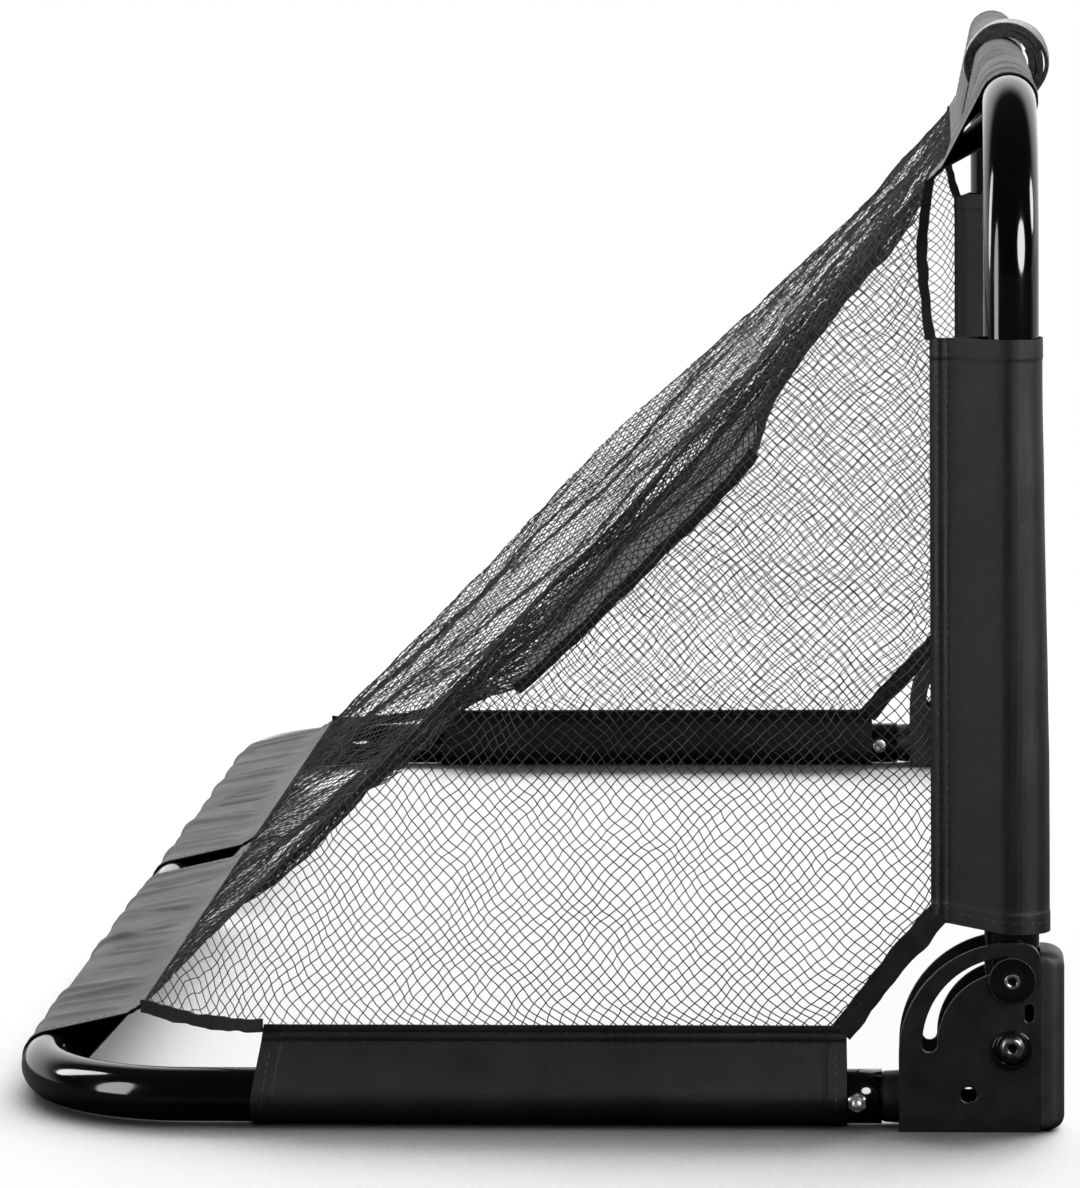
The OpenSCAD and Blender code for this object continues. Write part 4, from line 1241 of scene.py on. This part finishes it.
def make_floor():
    """White floor that keeps the object's shadow and runs out into plain white; it carries a painted shadow
    near the goal and a painted reflection.
    """
    material, tree, shader = new_material("studio_floor")
    path = node(tree, "LightPath").outputs
    in_view = path["Is Camera Ray"]
    places = node(tree, "TexCoord").outputs["Object"]
    towards_light = node(tree, "CombineXYZ", {"X": 0.9, "Y": -0.4, "Z": 0.2}).outputs[0]
    open_sky = node(tree, "AmbientOcclusion", {"Distance": 0.3, "Normal": towards_light}, samples=8)
    open_sky = open_sky.outputs["AO"]
    # painted shadow: to the camera the colour falls from 0.98 to 0.4 where the goal stands within 0.3 m
    # towards the light; other rays see a dim 0.12 grey
    painted_shadow_tint = node(tree, "Mix", {"Factor": in_view, "A": (0.12, 0.12, 0.12, 1),
                              "B": stretch(tree, open_sky, 0.5, 0.86, 0.4, 0.98)}, data_type="RGBA")
    feed(tree, shader, {"Roughness": 0.9, "Specular IOR Level": 0.0, "Base Color": painted_shadow_tint.outputs["Result"]})
    x = node(tree, "SeparateXYZ", {0: places}).outputs["X"]
    # painted reflection: in glossy rays the floor glows, dimming to a tenth towards the camera for its
    # shaded front
    behind = stretch(tree, x, -0.8, 1.5, 0.1, 1, smooth=True)
    mirrored = combine(tree, "MULTIPLY", path["Is Glossy Ray"], behind)
    glow = node(tree, "Emission", {"Color": WHITE, "Strength": combine(tree, "MAXIMUM", in_view, mirrored)})
    lit = stretch(tree, open_sky, 0.55, 0.86, 0, 0.92, smooth=True)
    away = node(tree, "VectorMath", {0: places}, operation="LENGTH").outputs["Value"]
    white = combine(tree, "MAXIMUM", combine(tree, "MULTIPLY", lit, in_view), stretch(tree, away, 0.9, 1.6))
    mix = node(tree, "MixShader", {"Fac": white, 1: shader.outputs[0], 2: glow.outputs[0]})
    feed(tree, tree.nodes["Material Output"], {"Surface": mix.outputs[0]})
    reach = 60.0
    corners = [(-reach, -reach, 0), (reach, -reach, 0), (reach, reach, 0), (-reach, reach, 0)]
    new_piece("studio_floor", corners, [(0, 1, 2, 3)], material)


def make_world():
    """Soft studio surround: white to the camera, in reflections bright behind the goal."""
    world = bpy.data.worlds.new("studio")
    world.use_nodes = True
    bpy.context.scene.world = world
    tree = world.node_tree
    sky = feed(tree, tree.nodes["Background"], {"Color": WHITE, "Strength": 0.1})
    path = node(tree, "LightPath").outputs
    places = node(tree, "TexCoord").outputs["Generated"]
    facing = node(tree, "VectorMath", {0: places, 1: (0.75, 0, -0.66)}, operation="DOT_PRODUCT")
    bright = stretch(tree, facing.outputs["Value"], -0.04, 0.3, 0.06, 1.8, smooth=True)
    surround = node(tree, "Background", {"Strength": bright})
    glossy = node(tree, "MixShader", {"Fac": path["Is Glossy Ray"], 1: sky.outputs[0],
                                      2: surround.outputs[0]})
    seen = combine(tree, "MAXIMUM", path["Is Camera Ray"], path["Is Transmission Ray"])
    white = node(tree, "Background", {"Color": WHITE, "Strength": 1.0})
    final = node(tree, "MixShader", {"Fac": seen, 1: glossy.outputs[0], 2: white.outputs[0]})
    feed(tree, tree.nodes["World Output"], {"Surface": final.outputs[0]})


def area_light(name, place, target, size, power, reflected=False):
    light = bpy.data.lights.new(name, "AREA")
    light.shape = "ELLIPSE" if reflected else "RECTANGLE"
    light.size, light.size_y = size
    light.energy = power
    lamp = bpy.data.objects.new(name, light)
    lamp.location = place
    aim = Vector(target) - Vector(place)
    lamp.rotation_euler = aim.to_track_quat("-Z", "Y").to_euler()
    lamp.visible_camera = False
    lamp.visible_diffuse = not reflected
    lamp.visible_glossy = reflected
    bpy.context.scene.collection.objects.link(lamp)


def make_lights():
    """Large soft light behind the goal and one overhead; softboxes that only show in reflections."""
    area_light("back_key", (2.0, 0.3, 1.85), (-0.3, 0.0, 0.0), (3.4, 1.3), 175)
    area_light("overhead", (-0.2, 0.1, 2.8), (0.0, 0.0, 0.0), (3.2, 2.8), 18)
    post = Vector((-half_w, post_y, 0.45))
    for name, direction, distance, size, power in (
            ("softbox_left", (-0.43, 0.905, 0.0), 1.7, (0.55, 1.5), 20.0),
            ("softbox_left_back", (0.18, 0.94, 0.29), 1.7, (0.38, 1.0), 14.0),
            ("softbox_right", (-0.70, -0.66, 0.28), 1.6, (0.9, 0.8), 42.0),
            ("softbox_right_back", (0.225, -0.92, 0.32), 1.7, (0.45, 0.5), 9.0)):
        area_light(name, post + Vector(direction) * distance, post, size, power, reflected=True)


def make_camera():
    """Camera at the photograph's viewpoint: place, turn, tilt and roll, with no shift."""
    yaw, pitch, roll = (math.radians(v) for v in (3.916, 7.437, -0.66))
    ahead = Vector((math.cos(yaw) * math.cos(pitch), math.sin(yaw) * math.cos(pitch), -math.sin(pitch)))
    level = ahead.cross(Vector((0, 0, 1))).normalized()
    above = level.cross(ahead)
    right = math.cos(roll) * level + math.sin(roll) * above
    up = -math.sin(roll) * level + math.cos(roll) * above
    data = bpy.data.cameras.new("camera")
    data.lens = 178.4
    data.sensor_width = 36
    data.clip_end = 200
    camera = bpy.data.objects.new("camera", data)
    place = Vector((-4.0627, post_y + 0.0415, 0.7586))
    camera.matrix_world = Matrix.Translation(place) @ Matrix((right, up, -ahead)).transposed().to_4x4()
    bpy.context.scene.collection.objects.link(camera)
    bpy.context.scene.camera = camera


# ---------------------------------------------------------------- the goal

make_tubes()
for name, side in SIDES.items():
    hinge_bracket(name, side)
    bumper(name, side)
    fasteners(name, side)
dress_cad_nodes()
sleeves = make_sleeves()
back_net_panel, side_nets = make_nets()
tapes = make_tapes(side_nets)
patch, patch_hems = make_patch(back_net_panel)
make_strap()

for key, pair in sleeves.items():
    for piece in pair:
        if key.startswith("crossbar"):
            blend_with_net(piece)
        else:
            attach(piece, "upright" if key.startswith("post") else "base")

for piece in [patch] + patch_hems:
    blend_with_net(piece)
for name in SIDES:
    net, _ = side_nets[name]
    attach(net, "base")
    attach(tapes[f"post_{name}"], "upright")
    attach(tapes[f"corner_{name}"], "base")
    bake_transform(tapes[f"hinge_{name}"])
    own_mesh(net)

make_floor()
make_world()
make_lights()
make_camera()
bpy.context.scene.view_settings.view_transform = "Standard"
